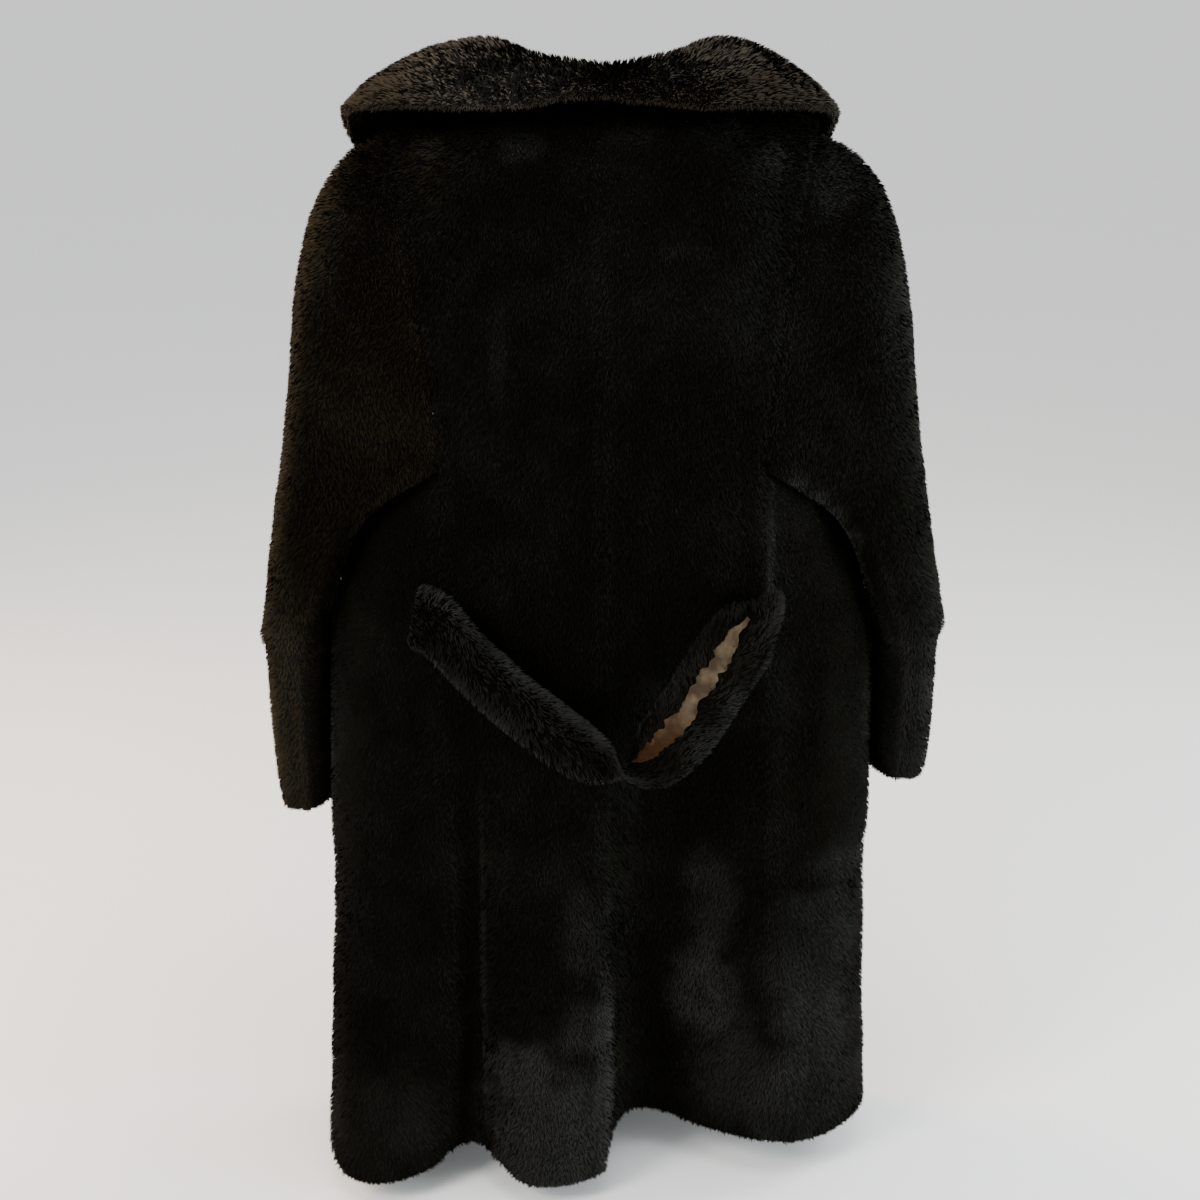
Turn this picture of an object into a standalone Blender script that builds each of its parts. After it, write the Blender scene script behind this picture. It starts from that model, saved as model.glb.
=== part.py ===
"""A long shearling coat with a large turned-down collar and a half belt.

It keeps the shape that a wearer gives it, but it is empty: a hollow shell of thick
clipped-wool skin, open at the neck, the hem and the cuffs. Metres, +Z up. The wearer's
back faces +Y and their left side is at +X. The origin is between the shoulders, where
the wearer carries the coat.
"""

import math
from collections import namedtuple

import bmesh
import bpy
import numpy as np
from mathutils import Vector

COAT = "shearling_coat"

# ---------------------------------------------------------------------------
# Driving sizes, in metres and degrees
# ---------------------------------------------------------------------------

WALL = 0.011  # leather and clipped wool together
COLLAR_WALL = 0.013
SEAM_GAP = 0.0004  # between neighbouring pieces
FULLNESS = 0.25  # how square the level sections are at their corners
FOLD_TOP = -0.43  # the hem's flutes begin here
FOLD_EASE = 1.2  # how late they deepen on their way down
SIDE_SEAM_BEARING = 38.0  # side-back seam, from the centre back
ARMHOLE_FRONT_BEARING = 135.0  # where the armhole turns up in front
LOWER_ROWS = 16  # from the hem to the underarm
UPPER_ROWS = 7  # from the underarm to the shoulder
NECK_COLUMNS = 4  # of the back panel's columns, those that end on the neckline

# Level sections of the body: half width, depth to the back and to the front, and how
# far the lengthwise lines turn towards the sides (degrees)
Section = namedtuple("Section", "z half_width back front turn")
BODY = (
    Section(-1.08, 0.290, 0.135, 0.135, 0),
    Section(-0.93, 0.284, 0.132, 0.132, -1),
    Section(-0.70, 0.2755, 0.128, 0.128, -2),
    Section(-0.60, 0.273, 0.127, 0.126, -1.5),
    Section(-0.50, 0.269, 0.126, 0.124, -1),
    Section(-0.45, 0.2585, 0.126, 0.123, 0),
    Section(-0.40, 0.239, 0.126, 0.122, 3),
    Section(-0.35, 0.218, 0.126, 0.121, 7),
    Section(-0.30, 0.205, 0.126, 0.120, 9),
)

# Lengthwise lines of the body and where each meets the hem, for the left and the right
# side (x is the distance from the middle). Crests and valleys of the flutes are here.
Line = namedtuple("Line", "bearing steps left_x left_y left_z right_x right_y right_z")
LINES = (
    Line(0, 2, -0.004, 0.120, -1.072, 0.004, 0.120, -1.072),
    Line(7, 2, 0.026, 0.139, -1.075, 0.012, 0.072, -1.060),
    Line(14, 2, 0.055, 0.145, -1.076, 0.028, 0.038, -1.050),
    Line(20, 2, 0.085, 0.141, -1.074, 0.056, 0.036, -1.048),
    Line(26, 2, 0.110, 0.112, -1.064, 0.096, 0.060, -1.051),
    Line(32, 2, 0.134, 0.090, -1.055, 0.145, 0.085, -1.054),
    Line(38, 2, 0.153, 0.106, -1.058, 0.195, 0.092, -1.056),
    Line(47, 1, 0.176, 0.130, -1.066, 0.222, 0.083, -1.056),
    Line(56, 1, 0.215, 0.147, -1.073, 0.246, 0.066, -1.056),
    Line(66, 1, 0.253, 0.142, -1.074, 0.267, 0.042, -1.055),
    Line(76, 1, 0.280, 0.112, -1.070, 0.281, 0.012, -1.055),
    Line(87, 1, 0.290, 0.060, -1.064, 0.288, -0.022, -1.056),
    Line(98, 1, 0.288, 0.005, -1.060, 0.284, -0.058, -1.058),
    Line(110, 1, 0.278, -0.050, -1.060, 0.264, -0.095, -1.062),
    Line(122, 1, 0.254, -0.098, -1.063, 0.232, -0.115, -1.064),
    Line(135, 2, 0.215, -0.120, -1.066, 0.195, -0.112, -1.060),
    Line(146, 2, 0.168, -0.100, -1.058, 0.150, -0.098, -1.057),
    Line(157, 2, 0.120, -0.112, -1.060, 0.105, -0.122, -1.062),
    Line(169, 2, 0.068, -0.143, -1.066, 0.058, -0.145, -1.066),
    Line(180, 1, 0.000, -0.140, -1.064, 0.000, -0.140, -1.064),
)

# Height at which each bearing meets the armhole, or the underarm level beside it
Rise = namedtuple("Rise", "bearing z")
UNDERARM = (
    Rise(0, -0.330),
    Rise(38, -0.330),
    Rise(65, -0.349),
    Rise(88, -0.356),
    Rise(112, -0.342),
    Rise(135, -0.305),
    Rise(180, -0.330),
)

# Edges above the underarm, left side; the right side mirrors them
Point = namedtuple("Point", "x y z")
SHOULDER_TIP = Point(0.205, 0.002, -0.018)
NECK_POINT = Point(0.088, 0.004, 0.032)
BACK_NECK = Point(0.0, 0.060, 0.012)
CENTRE_BACK_EDGE = (
    Point(0.0, 0.127, -0.220),
    Point(0.0, 0.124, -0.140),
    Point(0.0, 0.116, -0.070),
    Point(0.0, 0.099, -0.020),
)
ARMHOLE_BACK_EDGE = (
    Point(0.161, 0.099, -0.255),
    Point(0.170, 0.097, -0.190),
    Point(0.181, 0.084, -0.120),
    Point(0.194, 0.052, -0.058),
)
ARMHOLE_FRONT_EDGE = (
    Point(0.153, -0.092, -0.240),
    Point(0.154, -0.091, -0.180),
    Point(0.166, -0.076, -0.115),
    Point(0.187, -0.042, -0.055),
)
BACK_NECK_EDGE = (
    Point(0.045, 0.054, 0.016),
    Point(0.077, 0.033, 0.026),
)
FRONT_NECK_EDGE = (
    Point(0.022, -0.132, -0.280),
    Point(0.050, -0.129, -0.200),
    Point(0.080, -0.108, -0.115),
    Point(0.096, -0.072, -0.045),
    Point(0.097, -0.032, 0.012),
)
TURN_OVER = 1.0  # how much later the shoulder turns over than the panel's edges do
SHOULDER_CROWN = 0.004  # rise of the shoulder seam over a straight line

# Sleeve rings, left side: the point farthest out, the point next to the body, the reach
# to the back and to the front, how far the ring has left the armhole's outline, how much
# of the armhole's inward bow it keeps, and the slant of its inner side (towards the body
# at the back where it is below 0, at the front where it is over 0)
Ring = namedtuple("Ring", "outer_x outer_z inner_x inner_z back front freed bowed slant")
SLEEVE = (
    Ring(0.226, -0.024, 0.2265, -0.363, 0.103, -0.093, 0.05, 0.75, -0.10),
    Ring(0.248, -0.038, 0.2305, -0.372, 0.106, -0.095, 0.20, 0.50, -0.20),
    Ring(0.270, -0.068, 0.2370, -0.385, 0.108, -0.097, 0.45, 0.28, -0.22),
    Ring(0.287, -0.120, 0.2440, -0.400, 0.107, -0.097, 0.70, 0.12, -0.18),
    Ring(0.296, -0.190, 0.2510, -0.419, 0.104, -0.095, 0.90, 0.00, -0.15),
    Ring(0.302, -0.262, 0.2575, -0.440, 0.098, -0.092, 1.00, 0.00, -0.10),
    Ring(0.313, -0.330, 0.2645, -0.464, 0.090, -0.088, 1.00, 0.00, -0.02),
    Ring(0.324, -0.390, 0.2715, -0.488, 0.080, -0.084, 1.00, 0.00, 0.05),
    Ring(0.334, -0.445, 0.2755, -0.513, 0.068, -0.081, 1.00, 0.00, 0.12),
    Ring(0.339, -0.520, 0.2770, -0.536, 0.054, -0.078, 1.00, 0.00, 0.18),
    Ring(0.3400, -0.585, 0.2780, -0.592, 0.045, -0.077, 1.00, 0.00, 0.20),
    Ring(0.3380, -0.642, 0.2780, -0.645, 0.040, -0.076, 1.00, 0.00, 0.20),
    Ring(0.3350, -0.686, 0.2775, -0.685, 0.037, -0.075, 1.00, 0.00, 0.20),
    Ring(0.3320, -0.704, 0.2775, -0.702, 0.036, -0.074, 1.00, 0.00, 0.20),
)
CUFF_SEAM_RING = 9  # the row of SLEEVE where the lower sleeve piece begins
SLEEVE_SQUARENESS = 2.5  # exponent of the rings' outline, 2 for an ellipse
CUFF_OVERHANG = 0.004  # the upper piece's wool stands over the lower piece
RIGHT_SLEEVE_RISE = 0.034  # the right cuff ends this much higher
RIGHT_SLEEVE_INSET = 0.002  # and its inner side hangs this much nearer the body
ELBOW_Z = -0.40  # both begin below here

# Collar stations, left side: place along the neck edge (0 at the centre back, 1 at the
# shoulder seam, 2 at the break in front), the coat's outward direction there (rise over
# the level and heading from the back, in degrees), height of the stand, how far the roll
# leans towards the neck, the bow of the fall, and the fall's outer edge (its under side)
Station = namedtuple("Station", "neck rise heading stand lean bow edge_x edge_y edge_z")
COLLAR = (
    Station(0.00, 72, 0, 0.016, 0.006, 0.004, 0.000, 0.112, 0.010),
    Station(0.28, 74, 25, 0.017, 0.004, 0.006, 0.050, 0.115, 0.005),
    Station(0.52, 76, 45, 0.018, 0.000, 0.014, 0.108, 0.116, 0.000),
    Station(0.74, 78, 62, 0.018, -0.003, 0.022, 0.168, 0.107, 0.001),
    Station(0.90, 79, 76, 0.018, -0.007, 0.028, 0.214, 0.082, -0.002),
    Station(1.02, 78, 92, 0.019, -0.008, 0.030, 0.237, 0.030, -0.009),
    Station(1.12, 70, 120, 0.026, -0.006, 0.028, 0.239, -0.030, -0.031),
    Station(1.24, 52, 142, 0.026, -0.002, 0.023, 0.224, -0.086, -0.078),
    Station(1.40, 30, 158, 0.016, 0.002, 0.012, 0.186, -0.120, -0.135),
    Station(1.57, 14, 168, 0.012, 0.003, 0.009, 0.140, -0.135, -0.195),
    Station(1.74, 6, 173, 0.010, 0.003, 0.006, 0.092, -0.142, -0.255),
    Station(1.90, 3, 176, 0.008, 0.002, 0.005, 0.048, -0.146, -0.312),
    Station(2.00, 1, 178, 0.007, 0.002, 0.004, 0.014, -0.147, -0.352),
)
COLLAR_RIGHT_REACH = 0.90  # the right half lies narrower than the left
COLLAR_SECTION = 10  # spans from the neck edge to the outer edge
STAND_SECTION = 3  # of these, the spans of the stand
ROLL_OUT = 0.004  # how far the stand's curve comes into the roll, along the coat
ROLL_IN = 0.003  # and from below
FALL_PULL = 0.3  # how far the fall's curve runs straight at its ends, as a share
FALL_START_BOW = 0.6  # its bow near the roll, as a share of the bow near its edge
COLLAR_LIFT = 0.0011  # its seam allowance holds it this far off the neck edge

# Belt stations from the wearer's left end to the right end: middle of the strip, and how
# far it is rolled over (0 with the wool outwards, 180 with the lining outwards)
Hold = namedtuple("Hold", "x y z turn")
BELT = (
    Hold(0.180, 0.1136, -0.469, 0),
    Hold(0.156, 0.127, -0.477, 0),
    Hold(0.127, 0.141, -0.505, 4),
    Hold(0.093, 0.151, -0.536, 8),
    Hold(0.059, 0.158, -0.562, 12),
    Hold(0.026, 0.164, -0.586, 20),
    Hold(-0.003, 0.170, -0.600, 44),
    Hold(-0.025, 0.173, -0.604, 84),
    Hold(-0.046, 0.173, -0.595, 122),
    Hold(-0.067, 0.170, -0.574, 144),
    Hold(-0.088, 0.166, -0.546, 152),
    Hold(-0.108, 0.160, -0.514, 150),
    Hold(-0.126, 0.154, -0.488, 134),
    Hold(-0.144, 0.1515, -0.464, 94),
    Hold(-0.161, 0.1424, -0.444, 50),
)
BELT_WIDTH = 0.073
BELT_THICK = 0.017
BELT_STEPS = 2  # rings from one station to the next
BELT_FLARE = 4.5  # how much the strip faces sideways, per metre from the middle
BELT_CROWN_START = 0.25  # where its crowned side begins, in radians from the edge
BELT_CROWN_POWER = 0.6  # under 1 for a flat crown
BELT_CROWN_POINTS = 7
BELT_EDGE_FLAT = 0.86  # share of the half width at which the round edge ends behind
BELT_EDGE_BACK = 0.85  # share of the half thickness there
BELT_EDGE_LOW = 0.1  # how far behind its middle the strip is widest, as such a share
LINING_WIDTH = 0.027
LINING_THICK = 0.002
LINING_RECESS = 0.003  # the wool's edges stand over the lining by the rest
LINING_SHOWS = (7, 13)  # stations between which the lining shows

COLOURS = {
    "back_left": (0.016, 0.013, 0.011),
    "back_right": (0.016, 0.014, 0.012),
    "front_left": (0.015, 0.012, 0.010),
    "front_right": (0.015, 0.013, 0.011),
    "sleeve_left": (0.020, 0.015, 0.011),
    "sleeve_right": (0.017, 0.015, 0.013),
    "cuff_left": (0.021, 0.016, 0.012),
    "cuff_right": (0.018, 0.016, 0.014),
    "collar": (0.024, 0.018, 0.014),
    "belt": (0.018, 0.016, 0.014),
    "belt_lining": (0.45, 0.32, 0.20),
}
WOOL_ROUGHNESS = 0.85
LINING_ROUGHNESS = 0.6
SHARP_EDGE = 50.0  # faces that meet at more than this are drawn with a sharp edge
WELD = 1e-5  # points nearer than this are one point
CURVE_SAMPLES = 160  # for measuring a curve's length


# ---------------------------------------------------------------------------
# Curves and sections
# ---------------------------------------------------------------------------


def smooth_value(knots, values, at):
    """A smooth curve through (knot, value) pairs, read at one place."""
    knots = np.asarray(knots, float)
    values = np.asarray(values, float)
    at = float(np.clip(at, knots[0], knots[-1]))
    i = int(np.clip(np.searchsorted(knots, at) - 1, 0, len(knots) - 2))
    slopes = np.gradient(values, knots, axis=0)
    span = knots[i + 1] - knots[i]
    t = (at - knots[i]) / span
    start = (1 + 2 * t) * (1 - t) ** 2 * values[i] + t * (1 - t) ** 2 * span * slopes[i]
    end = t * t * (3 - 2 * t) * values[i + 1] + t * t * (t - 1) * span * slopes[i + 1]
    return start + end


def spaced_curve(points, count):
    """count + 1 points evenly spaced along a smooth curve through the given ones."""
    points = np.asarray(points, float)
    chords = np.linalg.norm(np.diff(points, axis=0), axis=1)
    knots = np.concatenate([[0.0], np.cumsum(chords)])
    samples = np.linspace(0, knots[-1], CURVE_SAMPLES)
    fine = np.array([smooth_value(knots, points, s) for s in samples])
    lengths = np.linalg.norm(np.diff(fine, axis=0), axis=1)
    along = np.concatenate([[0.0], np.cumsum(lengths)])
    places = np.linspace(0, along[-1], count + 1)
    return np.stack([np.interp(places, along, fine[:, k]) for k in range(3)], axis=1)


def progress(edge, axis):
    """How far along its whole change each point of an edge is, on one axis."""
    return (edge[:, axis] - edge[0, axis]) / (edge[-1, axis] - edge[0, axis])


def patch(bottom, top, first, last):
    """The surface between four edges: rows from bottom to top, columns from first to last.

    Each column rises and turns over as the two side edges do, in proportion.
    """
    rows, columns = len(first), len(bottom)
    v = np.linspace(0, 1, rows)[:, None]
    u = np.linspace(0, 1, columns)[None, :]
    grid = np.zeros((rows, columns, 3))
    sides = (1 - u) * first[:, :1] + u * last[:, :1]
    ends = (1 - u) * ((1 - v) * bottom[0, 0] + v * top[0, 0])
    ends = ends + u * ((1 - v) * bottom[-1, 0] + v * top[-1, 0])
    grid[:, :, 0] = (1 - v) * bottom[:, 0] + v * top[:, 0] + sides - ends
    for axis, late in ((1, TURN_OVER), (2, 0.0)):
        share = (1 - u) * progress(first, axis)[:, None] + u * progress(last, axis)[:, None]
        share = np.sign(share) * np.abs(share) ** (1 + late * np.sin(np.pi * u) ** 2)
        grid[:, :, axis] = bottom[:, axis] + (top[:, axis] - bottom[:, axis]) * share
    return grid


def body_section(bearing, z):
    """A point of the plain body, with no flutes: bearing from the centre back, in degrees."""
    heights = [s.z for s in BODY]
    sizes = smooth_value(heights, [s[1:] for s in BODY], z)
    half_width, back, front, turn = sizes
    angle = math.radians(bearing + turn * math.sin(math.radians(2 * bearing)))
    depth = back if math.cos(angle) > 0 else front
    y = depth * math.cos(angle) * (1 + FULLNESS * math.sin(angle) ** 2)
    return np.array([half_width * math.sin(angle), y, z])


def hem_point(line, side):
    """Where a lengthwise line meets the hem; side is 1 on the left and -1 on the right."""
    if side > 0:
        return np.array([line.left_x, line.left_y, line.left_z])
    return np.array([-line.right_x, line.right_y, line.right_z])


def line_row(line, side, share):
    """A point of a lengthwise line: share 0 at the hem and 1 at the underarm."""
    hem = hem_point(line, side)
    top_z = smooth_value([r.bearing for r in UNDERARM], [r.z for r in UNDERARM], line.bearing)
    z = hem[2] + (top_z - hem[2]) * share
    plain = body_section(line.bearing, z) * (side, 1, 1)
    plain_hem = body_section(line.bearing, hem[2]) * (side, 1, 1)
    depth = np.clip((FOLD_TOP - z) / (FOLD_TOP - hem[2]), 0, 1) ** FOLD_EASE
    return plain + depth * (hem - plain_hem) * (1, 1, 0)


def body_rings():
    """Rings of points round the body from the hem to the underarm, and the columns by name."""
    lines = [(line, 1) for line in LINES] + [(line, -1) for line in LINES[-2:0:-1]]
    names, columns = {}, 0
    for line, side in lines:
        names[(line.bearing, side)] = columns
        # a line's steps lead to the next bearing, so on the right they lead back
        columns += steps_after(line, side)
    rows = []
    for i in range(LOWER_ROWS + 1):
        knots = [line_row(line, side, i / LOWER_ROWS) for line, side in lines]
        row = []
        for k, (line, side) in enumerate(lines):
            a, b, c, d = (knots[(k + s) % len(knots)] for s in (-1, 0, 1, 2))
            count = steps_after(line, side)
            for step in range(count):
                row.append(between(a, b, c, d, step / count))
        rows.append(row)
    return np.array(rows), names


def steps_after(line, side):
    """How many columns lie between a line and the next one round the body."""
    if side > 0:
        return line.steps if line is not LINES[-1] else LINES[-2].steps
    return LINES[LINES.index(line) - 1].steps


def between(a, b, c, d, t):
    """A point of the smooth curve from b to c, which comes from a and goes on to d."""
    from_b = (c - a) / 2
    into_c = (d - b) / 2
    start = (1 + 2 * t) * (1 - t) ** 2 * b + t * (1 - t) ** 2 * from_b
    end = t * t * (3 - 2 * t) * c + t * t * (t - 1) * into_c
    return start + end


# ---------------------------------------------------------------------------
# The garment's shell: one welded surface, each face marked with its piece
# ---------------------------------------------------------------------------


class Shell:
    """A welded surface whose faces know which piece they belong to."""

    def __init__(self):
        self.mesh = bmesh.new()
        self.piece = self.mesh.faces.layers.int.new("piece")
        self.names = []

    def add_grid(self, name, grid, outward):
        """Adds rows of points as quads of a piece, turned so that outward(point) is outside."""
        if name not in self.names:
            self.names.append(name)
        verts = [[self.mesh.verts.new(p) for p in row] for row in grid]
        faces, outside = [], 0.0
        for low, high in zip(verts, verts[1:]):
            for j in range(len(low) - 1):
                corners = (low[j], low[j + 1], high[j + 1], high[j])
                face = self.mesh.faces.new(corners)
                face[self.piece] = self.names.index(name)
                face.normal_update()
                middle = face.calc_center_median()
                outside += face.calc_area() * face.normal.dot(Vector(outward(middle)))
                faces.append(face)
        if outside < 0:
            bmesh.ops.reverse_faces(self.mesh, faces=faces)

    def weld(self):
        """Joins the points that neighbouring grids share."""
        bmesh.ops.remove_doubles(self.mesh, verts=self.mesh.verts, dist=WELD)
        self.mesh.verts.ensure_lookup_table()
        self.mesh.verts.index_update()
        self.mesh.normal_update()

    def solid(self, name, wall, over=None):
        """The closed wall of one piece, drawn back from the seams by half of the gap.

        Its wool stands out over the piece named by over, where the two meet.
        """
        tag = self.names.index(name)
        faces = [f for f in self.mesh.faces if f[self.piece] == tag]
        verts = sorted({v for f in faces for v in f.verts}, key=lambda v: v.index)
        outer, inner = {}, {}
        bm = bmesh.new()
        for v in verts:
            own = [f for f in v.link_faces if f[self.piece] == tag]
            inset = Vector((0, 0, 0))
            if len(own) < len(v.link_faces) or any(e.is_boundary for e in v.link_edges):
                inset = self.inset(v, own)
            meets = over and any(f[self.piece] == self.names.index(over) for f in v.link_faces)
            out = v.normal * (CUFF_OVERHANG if meets else 0.0)
            outer[v] = bm.verts.new(v.co + inset + out)
            inner[v] = bm.verts.new(v.co + inset - v.normal * wall)
        for f in faces:
            bm.faces.new([outer[v] for v in f.verts])
            bm.faces.new([inner[v] for v in reversed(f.verts)])
            for loop in f.loops:
                if sum(g[self.piece] == tag for g in loop.edge.link_faces) == 1:
                    a, b = loop.vert, loop.link_loop_next.vert
                    # both pieces split the seam's face along the same diagonal
                    if a.index < b.index:
                        bm.faces.new([outer[b], outer[a], inner[b]])
                        bm.faces.new([outer[a], inner[a], inner[b]])
                    else:
                        bm.faces.new([outer[b], outer[a], inner[a]])
                        bm.faces.new([outer[b], inner[a], inner[b]])
        return bm

    def inset(self, v, own):
        """The step from a seam into a piece: half of the gap away from each of its edges."""
        step = Vector((0, 0, 0))
        for f in own:
            for e in f.edges:
                if v in e.verts and sum(g[self.piece] == f[self.piece] for g in e.link_faces) == 1:
                    run = (e.verts[1].co - e.verts[0].co).normalized()
                    inward = f.calc_center_median() - v.co
                    inward -= run * inward.dot(run) + v.normal * inward.dot(v.normal)
                    step += inward.normalized() * SEAM_GAP / 2
        if step.length == 0:
            centre = sum((f.calc_center_median() for f in own), Vector()) / len(own)
            inward = centre - v.co
            inward -= v.normal * inward.dot(v.normal)
            step = inward.normalized() * SEAM_GAP / 2
        return step


def mirrored(points, side):
    """The points as they are on the left, or turned over to the right."""
    return np.asarray(points, float) * (side, 1, 1)


def shoulder_seam(count):
    """The seam from the shoulder tip to the neck point."""
    share = np.linspace(0, 1, count + 1)[:, None]
    seam = (1 - share) * np.array(SHOULDER_TIP) + share * np.array(NECK_POINT)
    return seam + np.sin(np.pi * share) * (0, 0, SHOULDER_CROWN)


def neck_edge(count_back, count_front, start):
    """The left neck edge: centre back to shoulder seam, then down to the break at start."""
    back = spaced_curve([BACK_NECK, *BACK_NECK_EDGE, NECK_POINT], count_back)
    front = spaced_curve([start, *FRONT_NECK_EDGE, NECK_POINT], count_front)
    return back, front


def from_axis(p):
    """The way out of the body at a point below the underarm."""
    return (p.x, p.y, 0)


def from_chest(p):
    """The way out of the body at a point of the chest, the back or the shoulders."""
    return (p.x * 0.5, p.y, 0.06)


def add_body(shell):
    """The four panels. Returns each side's armhole, a closed loop that starts at the shoulder."""
    rings, column = body_rings()
    ring_count = rings.shape[1]
    armholes = {}
    for side, left_right in ((1, "left"), (-1, "right")):
        seam = column[(SIDE_SEAM_BEARING, side)]
        turn_up = column[(ARMHOLE_FRONT_BEARING, side)]
        back_end = 0 if side > 0 else ring_count
        middle = column[(180, 1)]

        def span(start, end):
            step = 1 if end >= start else -1
            return rings[:, [j % ring_count for j in range(start, end + step, step)]]

        back, under, front = span(back_end, seam), span(seam, turn_up), span(turn_up, middle)
        shell.add_grid(f"back_{left_right}", back, from_axis)
        shell.add_grid(f"front_{left_right}", under, from_axis)
        shell.add_grid(f"front_{left_right}", front, from_axis)

        shoulder_columns = front.shape[1] - 1
        seam_line = mirrored(shoulder_seam(shoulder_columns), side)
        back_neck, front_neck = neck_edge(NECK_COLUMNS, UPPER_ROWS, front[-1, -1] * (side, 1, 1))
        centre = spaced_curve([back[-1, 0], *CENTRE_BACK_EDGE, BACK_NECK], UPPER_ROWS)
        tip = Point(*seam_line[0])
        edge = mirrored(ARMHOLE_BACK_EDGE, side)
        arm_back = spaced_curve([back[-1, -1], *edge, tip], UPPER_ROWS)
        edge = mirrored(ARMHOLE_FRONT_EDGE, side)
        arm_front = spaced_curve([front[-1, 0], *edge, tip], UPPER_ROWS)
        top = np.concatenate([mirrored(back_neck, side), seam_line[::-1][1:]])
        upper_back = patch(back[-1], top, centre, arm_back)
        upper_front = patch(front[-1], seam_line, arm_front, mirrored(front_neck, side))
        shell.add_grid(f"back_{left_right}", upper_back, from_chest)
        shell.add_grid(f"front_{left_right}", upper_front, from_chest)
        armholes[side] = np.concatenate([arm_back[::-1], under[-1, 1:], arm_front[1:]])
    return armholes


def sleeve_ring(ring, side, bearings, armhole):
    """A ring of the sleeve, at the given bearings round it (0 at the top, 90 at the back)."""
    below = np.clip((ELBOW_Z - ring.outer_z) / (ELBOW_Z - SLEEVE[-1].outer_z), 0, 1)
    rise = RIGHT_SLEEVE_RISE * below if side < 0 else 0.0
    inset = RIGHT_SLEEVE_INSET * below if side < 0 else 0.0
    outer = np.array([ring.outer_x, 0, ring.outer_z + rise])
    inner = np.array([ring.inner_x - inset, 0, ring.inner_z + rise])
    centre = (outer + inner) / 2 + (0, (ring.back + ring.front) / 2, 0)
    across = (outer - inner) / 2
    depth = (ring.back - ring.front) / 2
    power = 2 / SLEEVE_SQUARENESS
    cos, sin = np.cos(bearings), np.sin(bearings)
    cos = np.sign(cos) * np.abs(cos) ** power
    sin = np.sign(sin) * np.abs(sin) ** power
    # the armhole's own outline, in shares of its height and depth, and how far it bows in
    low, high = armhole.min(axis=0), armhole.max(axis=0)
    middle, half = (low + high) / 2, (high - low) / 2
    up = (armhole[:, 2] - middle[2]) / half[2]
    back = (armhole[:, 1] - middle[1]) / half[1]
    bow = armhole[:, 0] - np.interp(up, (-1, 1), (armhole[:, 0].max(), armhole[0, 0]))
    cos = ring.freed * cos + (1 - ring.freed) * up
    sin = ring.freed * sin + (1 - ring.freed) * back
    points = centre + cos[:, None] * across + sin[:, None] * (0, depth, 0)
    points[:, 0] += ring.bowed * bow + ring.slant * depth * sin * (1 - cos) / 2
    return points * (side, 1, 1)


def add_sleeve(shell, side, armhole):
    """The sleeve and its lower piece, from the armhole to the cuff's end."""
    left_right = "left" if side > 0 else "right"
    armhole = armhole * (side, 1, 1)
    middle = (armhole.min(axis=0) + armhole.max(axis=0)) / 2
    bearings = np.arctan2(armhole[:, 1] - middle[1], armhole[:, 2] - middle[2])
    rows = [armhole * (side, 1, 1)] + [sleeve_ring(r, side, bearings, armhole) for r in SLEEVE]
    rows = np.array(rows)
    rows[:, -1] = rows[:, 0]
    seam = CUFF_SEAM_RING + 1
    parts = ((f"sleeve_{left_right}", rows[: seam + 1]), (f"cuff_{left_right}", rows[seam:]))
    for name, part in parts:
        centres = part[:, :-1].mean(axis=1)

        def away(p, centres=centres):
            near = centres[np.argmin(np.linalg.norm(centres - np.array(p), axis=1))]
            return np.array(p) - near

        shell.add_grid(name, part, away)


# ---------------------------------------------------------------------------
# Collar and belt
# ---------------------------------------------------------------------------


def bezier(a, b, c, d, count):
    """count + 1 points of a cubic curve from a to d."""
    t = np.linspace(0, 1, count + 1)[:, None]
    return (1 - t) ** 3 * a + 3 * t * (1 - t) ** 2 * b + 3 * t * t * (1 - t) * c + t**3 * d


def collar_section(neck, normal, station):
    """The collar's under side at a station, from the neck edge over the roll to the edge."""
    edge = np.array([station.edge_x, station.edge_y, station.edge_z])
    out = edge - neck
    out = out - normal * out.dot(normal)
    out = out / np.linalg.norm(out)
    base = neck + normal * COLLAR_LIFT
    roll = base + normal * station.stand - out * station.lean
    reach = (edge - roll).dot(out)
    stand_part = bezier(
        base,
        base + (normal * station.stand - out * station.lean) / 2,
        roll - out * ROLL_OUT - normal * ROLL_IN,
        roll,
        STAND_SECTION,
    )
    fall_part = bezier(
        roll,
        roll + out * FALL_PULL * reach + normal * station.bow * FALL_START_BOW,
        edge - out * FALL_PULL * reach + normal * station.bow,
        edge,
        COLLAR_SECTION - STAND_SECTION,
    )
    return np.concatenate([stand_part, fall_part[1:]])


def outward_at(station):
    """The coat's outward direction at a station of the neck edge."""
    rise, heading = math.radians(station.rise), math.radians(station.heading)
    level = math.cos(rise)
    return np.array([level * math.sin(heading), level * math.cos(heading), math.sin(rise)])


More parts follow.
